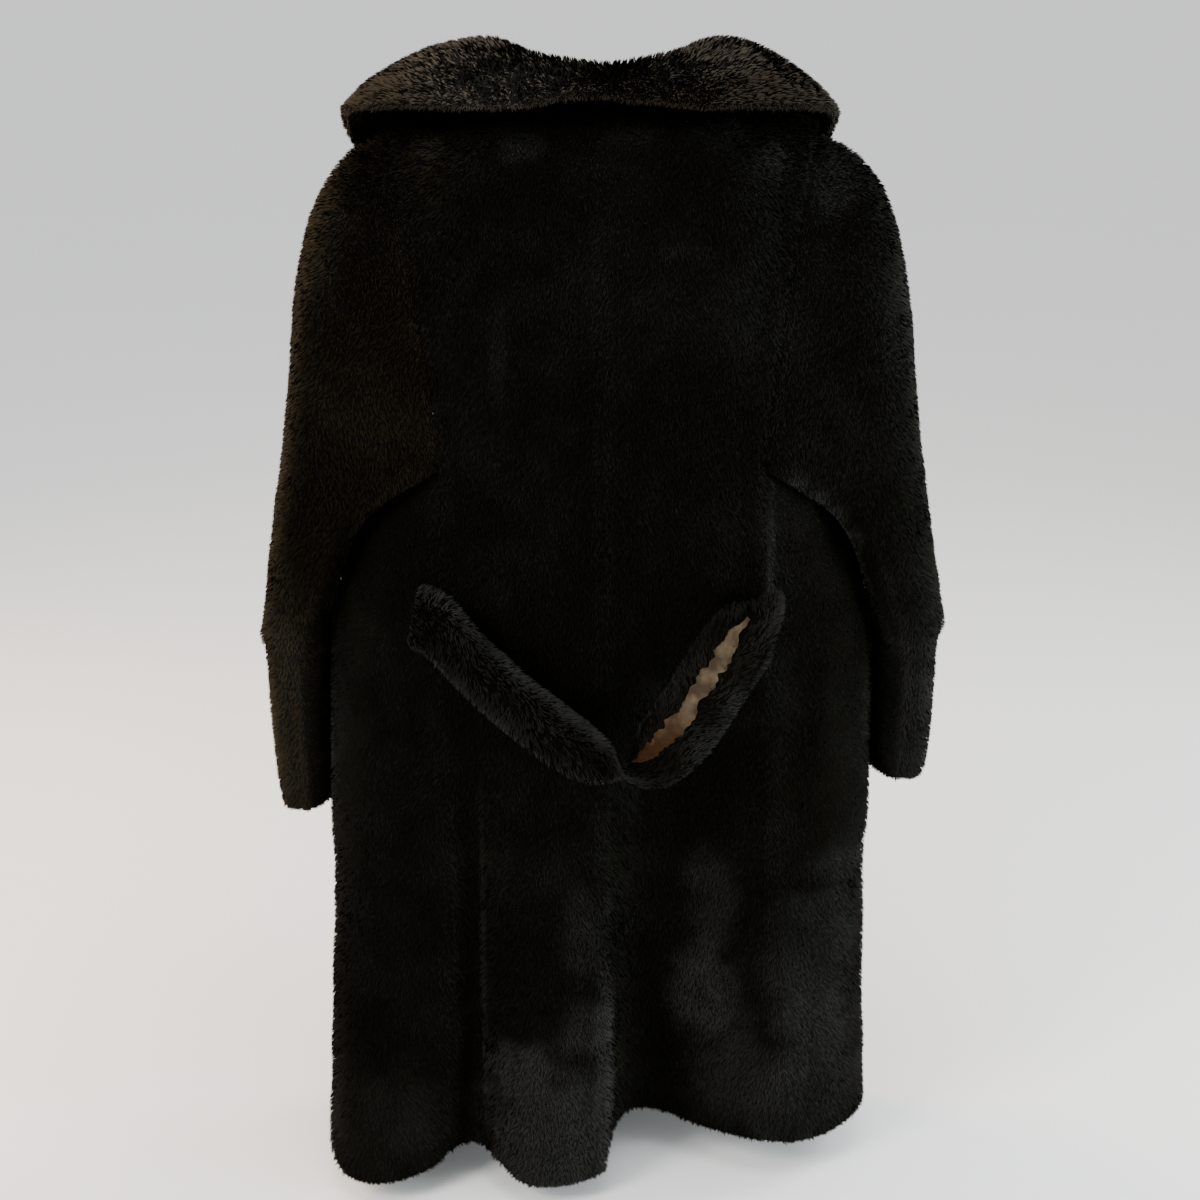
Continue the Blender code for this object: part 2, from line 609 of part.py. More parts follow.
def collar_rows():
    """Rows of the collar's under side, from the right front end round to the left one.

    There is a row at each corner of the panels' neck edge, and one halfway between.
    """
    start = body_section(180, UNDERARM[-1].z)
    back, front = neck_edge(NECK_COLUMNS, UPPER_ROWS, start)
    corners = np.concatenate([back, front[::-1][1:]])
    places = [k / NECK_COLUMNS for k in range(NECK_COLUMNS)]
    places += [1 + k / UPPER_ROWS for k in range(UPPER_ROWS + 1)]
    # the collar ends one of these rows before the break
    halfway = np.arange(2 * len(places) - 2)
    corner_rows = np.arange(0, 2 * len(places) - 1, 2)
    places = np.interp(halfway, corner_rows, places)
    edge = np.stack([np.interp(halfway, corner_rows, corners[:, k]) for k in range(3)], axis=1)
    knots = [s.neck for s in COLLAR]
    halves = {}
    for side, reach in ((1, 1.0), (-1, COLLAR_RIGHT_REACH)):
        halves[side] = []
        for place, neck in zip(places, edge):
            station = Station(*smooth_value(knots, [tuple(s) for s in COLLAR], place))
            station = station._replace(edge_x=station.edge_x * reach)
            section = collar_section(neck, outward_at(station), station)
            halves[side].append(section * (side, 1, 1))
    return np.array(halves[-1][::-1] + halves[1][1:])


def thick_sheet(grid, wall, sign):
    """A closed wall over rows of points; sign says to which side it grows."""
    rows, columns = grid.shape[:2]
    along = np.gradient(grid, axis=0)
    across = np.gradient(grid, axis=1)
    normals = np.cross(along, across)
    normals /= np.linalg.norm(normals, axis=2, keepdims=True)
    far = grid + sign * normals * wall
    bm = bmesh.new()
    near_v = [[bm.verts.new(p) for p in row] for row in grid]
    far_v = [[bm.verts.new(p) for p in row] for row in far]
    for i in range(rows - 1):
        for j in range(columns - 1):
            bm.faces.new([near_v[i][j], near_v[i][j + 1], near_v[i + 1][j + 1], near_v[i + 1][j]])
            bm.faces.new([far_v[i][j], far_v[i + 1][j], far_v[i + 1][j + 1], far_v[i][j + 1]])
    for i in range(rows - 1):
        bm.faces.new([near_v[i][0], near_v[i + 1][0], far_v[i + 1][0], far_v[i][0]])
        bm.faces.new([near_v[i + 1][-1], near_v[i][-1], far_v[i][-1], far_v[i + 1][-1]])
    for j in range(columns - 1):
        bm.faces.new([near_v[0][j + 1], near_v[0][j], far_v[0][j], far_v[0][j + 1]])
        bm.faces.new([near_v[-1][j], near_v[-1][j + 1], far_v[-1][j + 1], far_v[-1][j]])
    bmesh.ops.recalc_face_normals(bm, faces=bm.faces)
    return bm


def belt_frames():
    """Rings' places along the belt: middle, direction across the strip, and its wool side."""
    knots = np.arange(len(BELT), dtype=float)
    places = np.linspace(0, len(BELT) - 1, (len(BELT) - 1) * BELT_STEPS + 1)
    middles = np.array([smooth_value(knots, [h[:3] for h in BELT], s) for s in places])
    turns = np.array([smooth_value(knots, [[h.turn] for h in BELT], s)[0] for s in places])
    frames = []
    tangents = np.gradient(middles, axis=0)
    for middle, tangent, turn in zip(middles, tangents, turns):
        tangent = tangent / np.linalg.norm(tangent)
        out = np.array([middle[0] * BELT_FLARE, 1.0, 0.0])
        out = out - tangent * out.dot(tangent)
        out = out / np.linalg.norm(out)
        up = np.cross(tangent, out)
        if up[2] < 0:
            up = -up
        angle = math.radians(turn)
        wool_side = math.cos(angle) * out - math.sin(angle) * up
        across = math.sin(angle) * out + math.cos(angle) * up
        frames.append((middle, across, wool_side))
    return places, frames


def belt_outline():
    """The strip's section: a crowned wool side, round edges and a recess for the lining."""
    half, thick = BELT_WIDTH / 2, BELT_THICK / 2
    recess = LINING_WIDTH / 2 + 2 * SEAM_GAP
    crown = np.linspace(BELT_CROWN_START, math.pi - BELT_CROWN_START, BELT_CROWN_POINTS)
    wool = [(half * math.cos(a), thick * math.sin(a) ** BELT_CROWN_POWER) for a in crown]
    low, flat, deep = -BELT_EDGE_LOW * thick, BELT_EDGE_FLAT * half, -BELT_EDGE_BACK * thick
    edge = [(-half, low), (-flat, deep)]
    back = [(-recess, -thick), (-recess, -thick + LINING_RECESS), (recess, -thick + LINING_RECESS)]
    other = [(recess, -thick), (flat, deep), (half, low)]
    return wool + edge + back + other


def loft(rings):
    """A closed solid through rings of points, with flat ends."""
    bm = bmesh.new()
    verts = [[bm.verts.new(p) for p in ring] for ring in rings]
    for low, high in zip(verts, verts[1:]):
        for j in range(len(low)):
            k = (j + 1) % len(low)
            bm.faces.new([low[j], low[k], high[k], high[j]])
    bm.faces.new(verts[0][::-1])
    bm.faces.new(verts[-1])
    bmesh.ops.recalc_face_normals(bm, faces=bm.faces)
    return bm


def belt_solid():
    """The belt as a loft of its section along the sagging, twisting strip."""
    _, frames = belt_frames()
    outline = belt_outline()
    return loft([[m + a * u + w * v for u, v in outline] for m, a, w in frames])


def lining_solid():
    """The lining in the belt's recess, where the belt shows its inner face."""
    places, frames = belt_frames()
    half = LINING_WIDTH / 2
    top = -BELT_THICK / 2 + LINING_RECESS - SEAM_GAP
    outline = [(-half, top), (half, top), (half, top - LINING_THICK), (-half, top - LINING_THICK)]
    shown = [f for s, f in zip(places, frames) if LINING_SHOWS[0] <= s <= LINING_SHOWS[1]]
    return loft([[m + a * u + w * v for u, v in outline] for m, a, w in shown])


# ---------------------------------------------------------------------------
# Objects
# ---------------------------------------------------------------------------


def clear_scene():
    """Removes what the scene holds at the start."""
    for obj in list(bpy.data.objects):
        bpy.data.objects.remove(obj, do_unlink=True)


def material(name):
    """The plain material of a piece."""
    mat = bpy.data.materials.new(name)
    mat.use_nodes = True
    shader = mat.node_tree.nodes["Principled BSDF"]
    shader.inputs["Base Color"].default_value = (*COLOURS[name], 1.0)
    lining = name == "belt_lining"
    shader.inputs["Roughness"].default_value = LINING_ROUGHNESS if lining else WOOL_ROUGHNESS
    shader.inputs["Metallic"].default_value = 0.0
    return mat


def add_object(name, bm, collection):
    """Makes a piece's object from its solid."""
    bmesh.ops.triangulate(bm, faces=[f for f in bm.faces if len(f.verts) > 4])
    mesh = bpy.data.meshes.new(name)
    bm.to_mesh(mesh)
    bm.free()
    mesh.shade_smooth()
    mesh.set_sharp_from_angle(angle=math.radians(SHARP_EDGE))
    mesh.materials.append(material(name))
    obj = bpy.data.objects.new(name, mesh)
    collection.objects.link(obj)
    return obj


def main():
    """Builds the coat."""
    clear_scene()
    collection = bpy.data.collections.new(COAT)
    bpy.context.scene.collection.children.link(collection)
    shell = Shell()
    armholes = add_body(shell)
    for side in (1, -1):
        add_sleeve(shell, side, armholes[side])
    shell.weld()
    for name in shell.names:
        over = name.replace("sleeve", "cuff") if name.startswith("sleeve") else None
        add_object(name, shell.solid(name, WALL, over), collection)
    shell.mesh.free()
    add_object("collar", thick_sheet(collar_rows(), COLLAR_WALL, 1), collection)
    add_object("belt", belt_solid(), collection)
    add_object("belt_lining", lining_solid(), collection)


main()
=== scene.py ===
"""The dressed model of a long shearling coat with a turned-down collar and a half belt.

Each panel is a thin skin on the form of its solid, with soft folds worked into it, and
its clipped wool is a mesh of short bent tufts that follow the nap. Metres, +Z up; the
coat's back faces +Y and its left side is at +X.
"""

import logging
import math
from dataclasses import dataclass
from enum import Enum

import bmesh
import bpy
import numpy as np
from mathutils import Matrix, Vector, kdtree, noise
from mathutils.bvhtree import BVHTree


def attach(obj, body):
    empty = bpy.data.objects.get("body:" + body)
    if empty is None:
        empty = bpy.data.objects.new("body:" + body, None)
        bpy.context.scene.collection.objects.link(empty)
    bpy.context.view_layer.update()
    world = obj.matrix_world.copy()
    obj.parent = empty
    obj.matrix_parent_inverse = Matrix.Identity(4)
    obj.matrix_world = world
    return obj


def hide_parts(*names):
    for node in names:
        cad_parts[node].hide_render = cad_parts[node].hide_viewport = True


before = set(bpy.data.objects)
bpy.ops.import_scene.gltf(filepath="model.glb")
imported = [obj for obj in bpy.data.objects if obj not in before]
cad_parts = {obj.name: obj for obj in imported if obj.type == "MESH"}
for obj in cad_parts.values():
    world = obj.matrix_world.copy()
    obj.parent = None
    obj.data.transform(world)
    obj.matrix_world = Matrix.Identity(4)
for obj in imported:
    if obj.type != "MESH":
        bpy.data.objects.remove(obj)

log = logging.getLogger("coat")

Colour = tuple[float, float, float]
Place = tuple[float, float, float]
Points = np.ndarray
Layers = tuple[tuple[float, float, float], ...]
Material = bpy.types.Material
Mesh = bpy.types.Mesh
Node = bpy.types.Node
Object = bpy.types.Object
Socket = bpy.types.NodeSocket
Tree = bpy.types.NodeTree

PANEL_WALL = 0.011
COLLAR_WALL = 0.021  # more than its real 13 mm, because a ray crosses its bends at a slant
PROBE = 0.002  # how far under a face the ray starts that looks for the wall's other side
WALL_SLACK = 1.5
OPPOSITE = -0.5
BEND_LIMIT = math.radians(62)
SMOOTH_ANGLE = math.radians(60)
PIECE_UV = "OFBake"
PAINTED_SHEEN = "nap_and_painted_sheen"
NECK = (0.0, 0.01, 0.10)
# where back, front and sleeve meet behind the arm: distance from the middle, and height
MEETING = (0.152, -0.291)
# the heights between which the sleeves lie against the body's sides
CONTACT = (-0.33, -0.76)


class Nap(Enum):
    """The way in which the wool lies."""

    DOWN = "down"
    OFF_THE_NECK = "off the neck"


class Side(Enum):
    """The wearer's side of the coat."""

    LEFT = "left"
    RIGHT = "right"

    @property
    def sign(self) -> int:
        """1 at +X and -1 at -X."""
        return 1 if self is Side.LEFT else -1


# --- Finishes ---


def new_material(name: str, roughness: float) -> tuple[Material, Node]:
    """Makes an empty material.

    Args:
        name: the material's name.
        roughness: the shader's constant roughness.

    Returns:
        The material and its shader node.
    """
    material = bpy.data.materials.new(name)
    material.use_nodes = True
    shader = material.node_tree.nodes["Principled BSDF"]
    shader.inputs["Roughness"].default_value = roughness
    return material, shader


def mix_colour(
    tree: Tree, factor: Socket, first: Socket | Colour, second: Socket | Colour
) -> Socket:
    """Adds a node that goes from one colour to another.

    Args:
        tree: the material's nodes.
        factor: 0 for the first colour, 1 for the second.
        first: a colour, or the socket that gives it.
        second: a colour, or the socket that gives it.

    Returns:
        The socket with the mixed colour.
    """
    node = tree.nodes.new("ShaderNodeMix")
    node.data_type = "RGBA"
    tree.links.new(factor, node.inputs["Factor"])
    for value, socket in ((first, node.inputs[6]), (second, node.inputs[7])):
        if isinstance(value, Socket):
            tree.links.new(value, socket)
        else:
            socket.default_value = (*value, 1.0)
    return node.outputs[2]


def noise_factor(
    tree: Tree, scale: float, low: float, high: float, detail: float = 3.0
) -> Socket:
    """Adds a noise on the piece's own coordinates.

    Args:
        tree: the material's nodes.
        scale: how fine the noise is.
        low: the noise value that becomes 0.
        high: the noise value that becomes 1.
        detail: how many finer layers it has.

    Returns:
        The socket with a value from 0 to 1.
    """
    place = tree.nodes.new("ShaderNodeTexCoord")
    pattern = tree.nodes.new("ShaderNodeTexNoise")
    pattern.inputs["Scale"].default_value = scale
    pattern.inputs["Detail"].default_value = detail
    tree.links.new(place.outputs["Object"], pattern.inputs["Vector"])
    spread = tree.nodes.new("ShaderNodeMapRange")
    spread.inputs["From Min"].default_value = low
    spread.inputs["From Max"].default_value = high
    tree.links.new(pattern.outputs["Fac"], spread.inputs["Value"])
    return spread.outputs["Result"]


def add_bump(
    tree: Tree, shader: Node, height: Socket, distance: float, strength: float
) -> None:
    """Links a height to the shader's normal.

    Args:
        tree: the material's nodes.
        shader: the shader node.
        height: the socket with the height.
        distance: how high 1 stands, in metres.
        strength: how much of it shows.
    """
    bump = tree.nodes.new("ShaderNodeBump")
    bump.inputs["Distance"].default_value = distance
    bump.inputs["Strength"].default_value = strength
    tree.links.new(height, bump.inputs["Height"])
    tree.links.new(bump.outputs["Normal"], shader.inputs["Normal"])


@dataclass(frozen=True)
class Wool:
    """Clipped wool: painted dark at the skin as shade deep in the pile, a little paler at the tips,
    and painted paler with sheen where its nap is brushed up.
    """

    name: str
    root: Colour
    tip: Colour
    # the colour of brushed-up wool, painted pale as sheen
    ruffled_painted_sheen: Colour
    # how much of that colour the roots keep: painted shade deep in the pile
    depth: float = 0.75
    roughness: float = 0.58
    specular: float = 0.02
    sheen: float = 0.03
    sheen_roughness: float = 0.30
    sheen_tint: Colour = (0.45, 0.45, 0.43)

    def material(self) -> Material:
        """Reads the tufts' own map: across it the ruffling with its painted sheen, up it the way to
        the tip.

        Returns:
            The tufts' material.
        """
        material, shader = new_material(self.name, self.roughness)
        tree = material.node_tree
        chart = tree.nodes.new("ShaderNodeUVMap")
        chart.uv_map = PIECE_UV
        split = tree.nodes.new("ShaderNodeSeparateXYZ")
        tree.links.new(chart.outputs["UV"], split.inputs["Vector"])
        # painted sheen towards the tips, and painted shade at the roots, which stay darker deep in
        # the pile
        tips = mix_colour(tree, split.outputs["X"], self.tip, self.ruffled_painted_sheen)
        shaded = tuple(self.depth * c for c in self.ruffled_painted_sheen)
        roots = mix_colour(tree, split.outputs["X"], self.root, shaded)
        colour = mix_colour(tree, split.outputs["Y"], roots, tips)
        tree.links.new(colour, shader.inputs["Base Color"])
        shader.inputs["Specular IOR Level"].default_value = self.specular
        shader.inputs["Sheen Weight"].default_value = self.sheen
        shader.inputs["Sheen Roughness"].default_value = self.sheen_roughness
        shader.inputs["Sheen Tint"].default_value = (*self.sheen_tint, 1.0)
        return material


@dataclass(frozen=True)
class Underwool:
    """The dense wool close to the skin, seen between the tufts."""

    name: str
    dark: Colour
    pale: Colour
    # the colour of brushed-up wool, painted pale as sheen
    ruffled_painted_sheen: Colour
    roughness: float = 0.9
    specular: float = 0.02
    matting: float = 620.0
    relief: float = 0.0015

    def material(self) -> Material:
        """Makes a fine matted wool, painted paler with sheen where the piece's attribute for
        ruffling says so.

        Returns:
            The material of a skin's outer face.
        """
        material, shader = new_material(self.name, self.roughness)
        tree = material.node_tree
        mat = noise_factor(tree, self.matting, 0.3, 0.7)
        nap_and_painted_sheen = tree.nodes.new("ShaderNodeAttribute")
        nap_and_painted_sheen.attribute_name = PAINTED_SHEEN
        base = mix_colour(tree, mat, self.dark, self.pale)
        colour = mix_colour(tree, nap_and_painted_sheen.outputs["Fac"], base, self.ruffled_painted_sheen)
        tree.links.new(colour, shader.inputs["Base Color"])
        shader.inputs["Specular IOR Level"].default_value = self.specular
        add_bump(tree, shader, mat, self.relief, 0.6)
        return material


@dataclass(frozen=True)
class Suede:
    """The skin's inner face: brushed suede, a little uneven in its dye."""

    name: str
    dark: Colour = (0.020, 0.015, 0.012)
    pale: Colour = (0.050, 0.038, 0.030)
    roughness: float = 0.92
    sheen: float = 0.2
    dye_scale: float = 9.0
    fibre_scale: float = 900.0
    relief: float = 0.0006

    def material(self) -> Material:
        """Makes the suede.

        Returns:
            The material of a skin's inner face and cut edges.
        """
        material, shader = new_material(self.name, self.roughness)
        tree = material.node_tree
        dye = noise_factor(tree, self.dye_scale, 0.3, 0.75, 5.0)
        fibre = noise_factor(tree, self.fibre_scale, 0.3, 0.7)
        base = mix_colour(tree, dye, self.dark, self.pale)
        colour = mix_colour(tree, fibre, base, self.dark)
        tree.links.new(colour, shader.inputs["Base Color"])
        shader.inputs["Sheen Weight"].default_value = self.sheen
        add_bump(tree, shader, fibre, self.relief, 0.5)
        return material


@dataclass(frozen=True)
class TanLining:
    """The belt's tan lining: a thin twill, rubbed pale, darker and browner in blotches near the low
    point.
    """

    name: str = "tan_lining"
    cloth: Colour = (0.026, 0.0175, 0.0095)
    rubbed: Colour = (0.080, 0.059, 0.0355)
    low_end_colour: Colour = (0.0200, 0.0075, 0.0018)
    darkening_top: float = -0.535
    darkening_end: float = -0.578
    blotch_scale: float = 110.0
    wear_scale: float = 60.0
    twill_scale: float = 420.0
    relief: float = 0.0003
    roughness: float = 0.62
    sheen: float = 0.005
    specular: float = 0.05

    def material(self) -> Material:
        """Makes the twill, darker and browner in blotches towards its low end.

        Returns:
            The lining's material.
        """
        material, shader = new_material(self.name, self.roughness)
        tree = material.node_tree
        place = tree.nodes.new("ShaderNodeTexCoord")
        height = tree.nodes.new("ShaderNodeSeparateXYZ")
        tree.links.new(place.outputs["Object"], height.inputs["Vector"])
        # darker and browner in blotches towards the low end
        low = tree.nodes.new("ShaderNodeMapRange")
        low.inputs["From Min"].default_value = self.darkening_top
        low.inputs["From Max"].default_value = self.darkening_end
        tree.links.new(height.outputs["Z"], low.inputs["Value"])
        blotch = noise_factor(tree, self.blotch_scale, 0.05, 0.42)
        darkened = tree.nodes.new("ShaderNodeMath")
        darkened.operation = "MULTIPLY"
        tree.links.new(low.outputs["Result"], darkened.inputs[0])
        tree.links.new(blotch, darkened.inputs[1])
        worn = noise_factor(tree, self.wear_scale, 0.4, 0.7)
        base = mix_colour(tree, worn, self.cloth, self.rubbed)
        colour = mix_colour(tree, darkened.outputs["Value"], base, self.low_end_colour)
        tree.links.new(colour, shader.inputs["Base Color"])
        twill = tree.nodes.new("ShaderNodeTexWave")
        twill.inputs["Scale"].default_value = self.twill_scale
        twill.inputs["Distortion"].default_value = 1.5
        tree.links.new(place.outputs["Object"], twill.inputs["Vector"])
        add_bump(tree, shader, twill.outputs["Fac"], self.relief, 0.5)
        shader.inputs["Sheen Weight"].default_value = self.sheen
        shader.inputs["Specular IOR Level"].default_value = self.specular
        return material


@dataclass(frozen=True)
class PaleFloor:
    """A plain pale studio floor."""

    name: str = "pale_floor"
    colour: Colour = (0.86, 0.86, 0.85)
    darker: float = 0.985
    patches: float = 1.2
    roughness: float = 0.8

    def material(self) -> Material:
        """Makes the floor's paint.

        Returns:
            The floor's material.
        """
        material, shader = new_material(self.name, self.roughness)
        tree = material.node_tree
        patch = noise_factor(tree, self.patches, 0.2, 0.8)
        worn = tuple(self.darker * c for c in self.colour)
        tree.links.new(mix_colour(tree, patch, self.colour, worn), shader.inputs["Base Color"])
        return material


# --- Shaping tools ---


def only(obj: Object) -> Object:
    """Deselects all, then selects one object and makes it the active one.

    Args:
        obj: the object to select.

    Returns:
        The same object.
    """
    bpy.ops.object.select_all(action="DESELECT")
    obj.select_set(True)
    bpy.context.view_layer.objects.active = obj
    return obj


def link_object(name: str, mesh: Mesh) -> Object:
    """Makes a mesh an object of the scene.

    Args:
        name: the object's name.
        mesh: its mesh.

    Returns:
        The new object.
    """
    obj = bpy.data.objects.new(name, mesh)
    bpy.context.scene.collection.objects.link(obj)
    return obj


def apply_modifier(obj: Object, kind: str, **settings: object) -> None:
    """Adds a modifier and applies it.

    Args:
        obj: the object.
        kind: Blender's name for the modifier.
        settings: the modifier's settings by name.
    """
    only(obj)
    bpy.ops.object.modifier_add(type=kind)
    modifier = obj.modifiers[-1]
    for key, value in settings.items():
        setattr(modifier, key, value)
    bpy.ops.object.modifier_apply(modifier=modifier.name)


def soften(obj: Object) -> None:
    """Shades an object smooth, apart from its sharp edges."""
    only(obj)
    bpy.ops.object.shade_smooth_by_angle(angle=SMOOTH_ANGLE)


def places(mesh: Mesh) -> Points:
    """The mesh's points as rows of x, y and z."""
    flat = np.empty(3 * len(mesh.vertices))
    mesh.vertices.foreach_get("co", flat)
    return flat.reshape(-1, 3)


def outward(mesh: Mesh) -> Points:
    """The direction out of the surface at each point."""
    flat = np.empty(3 * len(mesh.vertices))
    mesh.vertices.foreach_get("normal", flat)
    return flat.reshape(-1, 3)


def put_back(mesh: Mesh, points: Points) -> None:
    """Moves the mesh's points to new places."""
    mesh.vertices.foreach_set("co", np.ascontiguousarray(points).ravel())
    mesh.update()


def unit(rows: Points) -> Points:
    """Each row as a direction of length 1."""
    return rows / np.maximum(np.linalg.norm(rows, axis=-1, keepdims=True), 1e-9)


def cloud(points: Points, scale: float, offset: float = 0.0) -> np.ndarray:
    """A smooth noise from about -1 to 1; the offset makes two of one scale differ."""
    moved = points * scale + offset
    return np.array([noise.noise(row) for row in moved.tolist()]) * 1.7


def clouds(points: Points, layers: Layers, start: float = 0.0) -> np.ndarray:
    """Noises added to a start: each layer is a strength, a scale and an offset."""
    return sum((strength * cloud(points, *layer) for strength, *layer in layers), start)


def square_to(ways: Points, others: Points) -> Points:
    """The part of each way that is square to another direction."""
    return ways - others * np.sum(ways * others, axis=1, keepdims=True)


def swing(ways: Points, normals: Points, degrees: np.ndarray) -> Points:
    """Turns ways within the surface."""
    angle = np.radians(degrees)[:, None]
    return ways * np.cos(angle) + np.cross(normals, ways) * np.sin(angle)


def ease(value: np.ndarray) -> np.ndarray:
    """A smooth step from 0 to 1."""
    value = np.clip(value, 0.0, 1.0)
    return value * value * (3 - 2 * value)


def rising(low: float, share: np.ndarray) -> np.ndarray:
    """Goes from low to 1 as the share goes from 0 to 1."""
    return low + (1 - low) * share


def hump(value: np.ndarray, middle: float, width: float) -> np.ndarray:
    """A soft hump that is 1 in the middle."""
    return np.exp(-(((value - middle) / width) ** 2))


def closest(points: Points, targets: Points) -> tuple[np.ndarray, np.ndarray]:
    """Finds the closest target to each point.

    Args:
        points: rows of x, y and z.
        targets: rows to choose from.

    Returns:
        The target's number and its distance for each point.
    """
    tree = kdtree.KDTree(len(targets))
    for k, row in enumerate(targets.tolist()):
        tree.insert(row, k)
    tree.balance()
    found = [tree.find(row) for row in points.tolist()]
    return np.array([f[1] for f in found]), np.array([f[2] for f in found])


def flood(start: set, free: set, steepest: float) -> set:
    """Grows a group of faces over the edges between them.

    Args:
        start: the faces to grow from.
        free: the faces that may be taken; each one taken leaves this set.
        steepest: the widest angle between two neighbours' directions.

    Returns:
        The grown group.
    """
    group, waiting = set(start), list(start)
    while waiting:
        face = waiting.pop()
        for edge in face.edges:
            for other in edge.link_faces:
                if other in free and other.normal.angle(face.normal, 0.0) < steepest:
                    free.discard(other)
                    group.add(other)
                    waiting.append(other)
    return group


def outer_sheet(node: str, name: str, wall: float) -> Object:
    """Copies the outer surface of a walled solid as an open sheet of quads.

    Args:
        node: the solid's node.
        name: the sheet's name.
        wall: about how thick the solid's wall is.

    Returns:
        The sheet, still as coarse as the solid.
    """
    sheet = only(link_object(name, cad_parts[node].data.copy()))
    sheet.data.materials.clear()
    bpy.ops.object.mode_set(mode="EDIT")
    bpy.ops.mesh.select_all(action="SELECT")
    bpy.ops.mesh.remove_doubles(threshold=1e-5)
    bpy.ops.mesh.tris_convert_to_quads(
        face_threshold=math.radians(50), shape_threshold=math.radians(70)
    )
    bpy.ops.object.mode_set(mode="OBJECT")
    bm = bmesh.new()
    bm.from_mesh(sheet.data)
    tree = BVHTree.FromBMesh(bm)
    walls = set()
    for face in bm.faces:
        start = face.calc_center_median() - face.normal * PROBE
        hit, normal, _, distance = tree.ray_cast(start, -face.normal)
        if hit is not None and distance < WALL_SLACK * wall and normal.dot(face.normal) < OPPOSITE:
            walls.add(face)
    # of the groups of wall faces, the outer side is the one that swells out most
    best, outer = -math.inf, set()
    left = set(walls)
    while left:
        group = flood({left.pop()}, left, BEND_LIMIT)
        middle = sum((f.calc_center_median() * f.calc_area() for f in group), Vector())
        middle /= sum(f.calc_area() for f in group)
        swell = sum(f.calc_area() * f.normal.dot(f.calc_center_median() - middle) for f in group)
        if swell > best:
            best, outer = swell, group
    bmesh.ops.delete(bm, geom=[f for f in bm.faces if f not in outer], context="FACES")
    bm.to_mesh(sheet.data)
    bm.free()
    return sheet


# --- Folds ---


BODY_HALF = 0.24  # a fold farther out than this is on a sleeve
SLEEVE_MIDDLE = 0.27


@dataclass(frozen=True)
class Fold:
    """A soft trough (depth over 0) or ridge (under 0) between two places on the surface."""

    start: Place
    end: Place
    width: float
    depth: float
    bow: float = 0.0

    def on(self, side: Side) -> "Fold":
        """The same fold on the left side, or its mirror image on the right."""
        ends = ((side.sign * x, y, z) for x, y, z in (self.start, self.end))
        return Fold(*ends, self.width, self.depth, self.bow)

    def press(self, points: Points, normals: Points) -> np.ndarray:
        """How far the fold presses each point in.

        Args:
            points: rows of x, y and z.
            normals: the surface's direction at each of them.

        Returns:
            The depth at each point, in metres.
        """
        start, end = np.array(self.start), np.array(self.end)
        run = end - start
        length = np.linalg.norm(run)
        run = run / length
        along = (points - start) @ run / length
        near = np.clip(along, 0, 1)
        away = points - (start + near[:, None] * run * length)
        away = square_to(away, normals)
        sideways = unit(np.cross(normals, run))
        lateral = np.sum(away * sideways, axis=1) - self.bow * 4 * near * (1 - near)
        beyond = np.abs(along - near) * length
        far = np.sqrt(lateral**2 + beyond**2) / self.width
        same_side = ease((np.sum(normals * self.facing(), axis=1) + 0.2) / 0.4)
        taper = np.sin(np.pi * np.clip(0.12 + 0.76 * near, 0, 1)) ** 0.8
        return self.depth * np.exp(-far * far) * taper * same_side

    def facing(self) -> np.ndarray:
        """The way out of the coat at the fold: from a sleeve's middle line, or from the body's."""
        x, y, _ = (np.array(self.start) + np.array(self.end)) / 2
        on_sleeve = abs(x) > BODY_HALF
        across = x - math.copysign(SLEEVE_MIDDLE, x) if on_sleeve else x * 0.5
        return unit(np.array([across, y, 0.02]))


def both_sides(*folds: Fold) -> tuple[Fold, ...]:
    """The folds on the left side, then their mirror images on the right."""
    return tuple(fold.on(side) for side in Side for fold in folds)


BACK_FOLDS = (
    Fold((0.150, 0.10, -0.30), (0.040, 0.13, -0.36), 0.018, 0.0030, 0.012),
    Fold((0.152, 0.10, -0.36), (0.060, 0.13, -0.46), 0.016, 0.0024, -0.010),
    Fold((-0.148, 0.10, -0.31), (-0.050, 0.13, -0.35), 0.017, 0.0030, -0.010),
    Fold((-0.150, 0.10, -0.37), (-0.070, 0.13, -0.47), 0.018, 0.0026, 0.012),
    Fold((0.060, 0.13, -0.05), (0.100, 0.12, -0.22), 0.022, 0.0028, 0.010),
    Fold((-0.050, 0.13, -0.06), (-0.105, 0.12, -0.20), 0.022, 0.0026, -0.012),
    Fold((0.080, 0.13, -0.44), (0.070, 0.13, -0.70), 0.017, 0.0032, 0.008),
    Fold((-0.075, 0.13, -0.46), (-0.062, 0.11, -0.78), 0.019, 0.0034, -0.008),
    Fold((0.020, 0.13, -0.52), (0.028, 0.13, -0.86), 0.013, -0.0022, 0.005),
    Fold((-0.120, 0.12, -0.56), (-0.140, 0.09, -0.92), 0.020, -0.0026, 0.008),
    Fold((0.118, 0.11, -0.60), (0.130, 0.09, -1.03), 0.014, 0.0030, 0.004),
    Fold((0.046, 0.14, -0.86), (0.050, 0.14, -1.05), 0.016, 0.0018, -0.004),
    Fold((0.106, 0.12, -0.64), (0.109, 0.115, -1.06), 0.007, -0.0034),
    Fold((0.128, 0.10, -0.64), (0.130, 0.095, -1.06), 0.011, 0.0036),
    Fold((0.003, 0.13, -0.70), (0.002, 0.125, -1.06), 0.007, -0.0034),
    Fold((-0.034, 0.09, -0.66), (-0.038, 0.05, -1.05), 0.014, 0.0030),
)
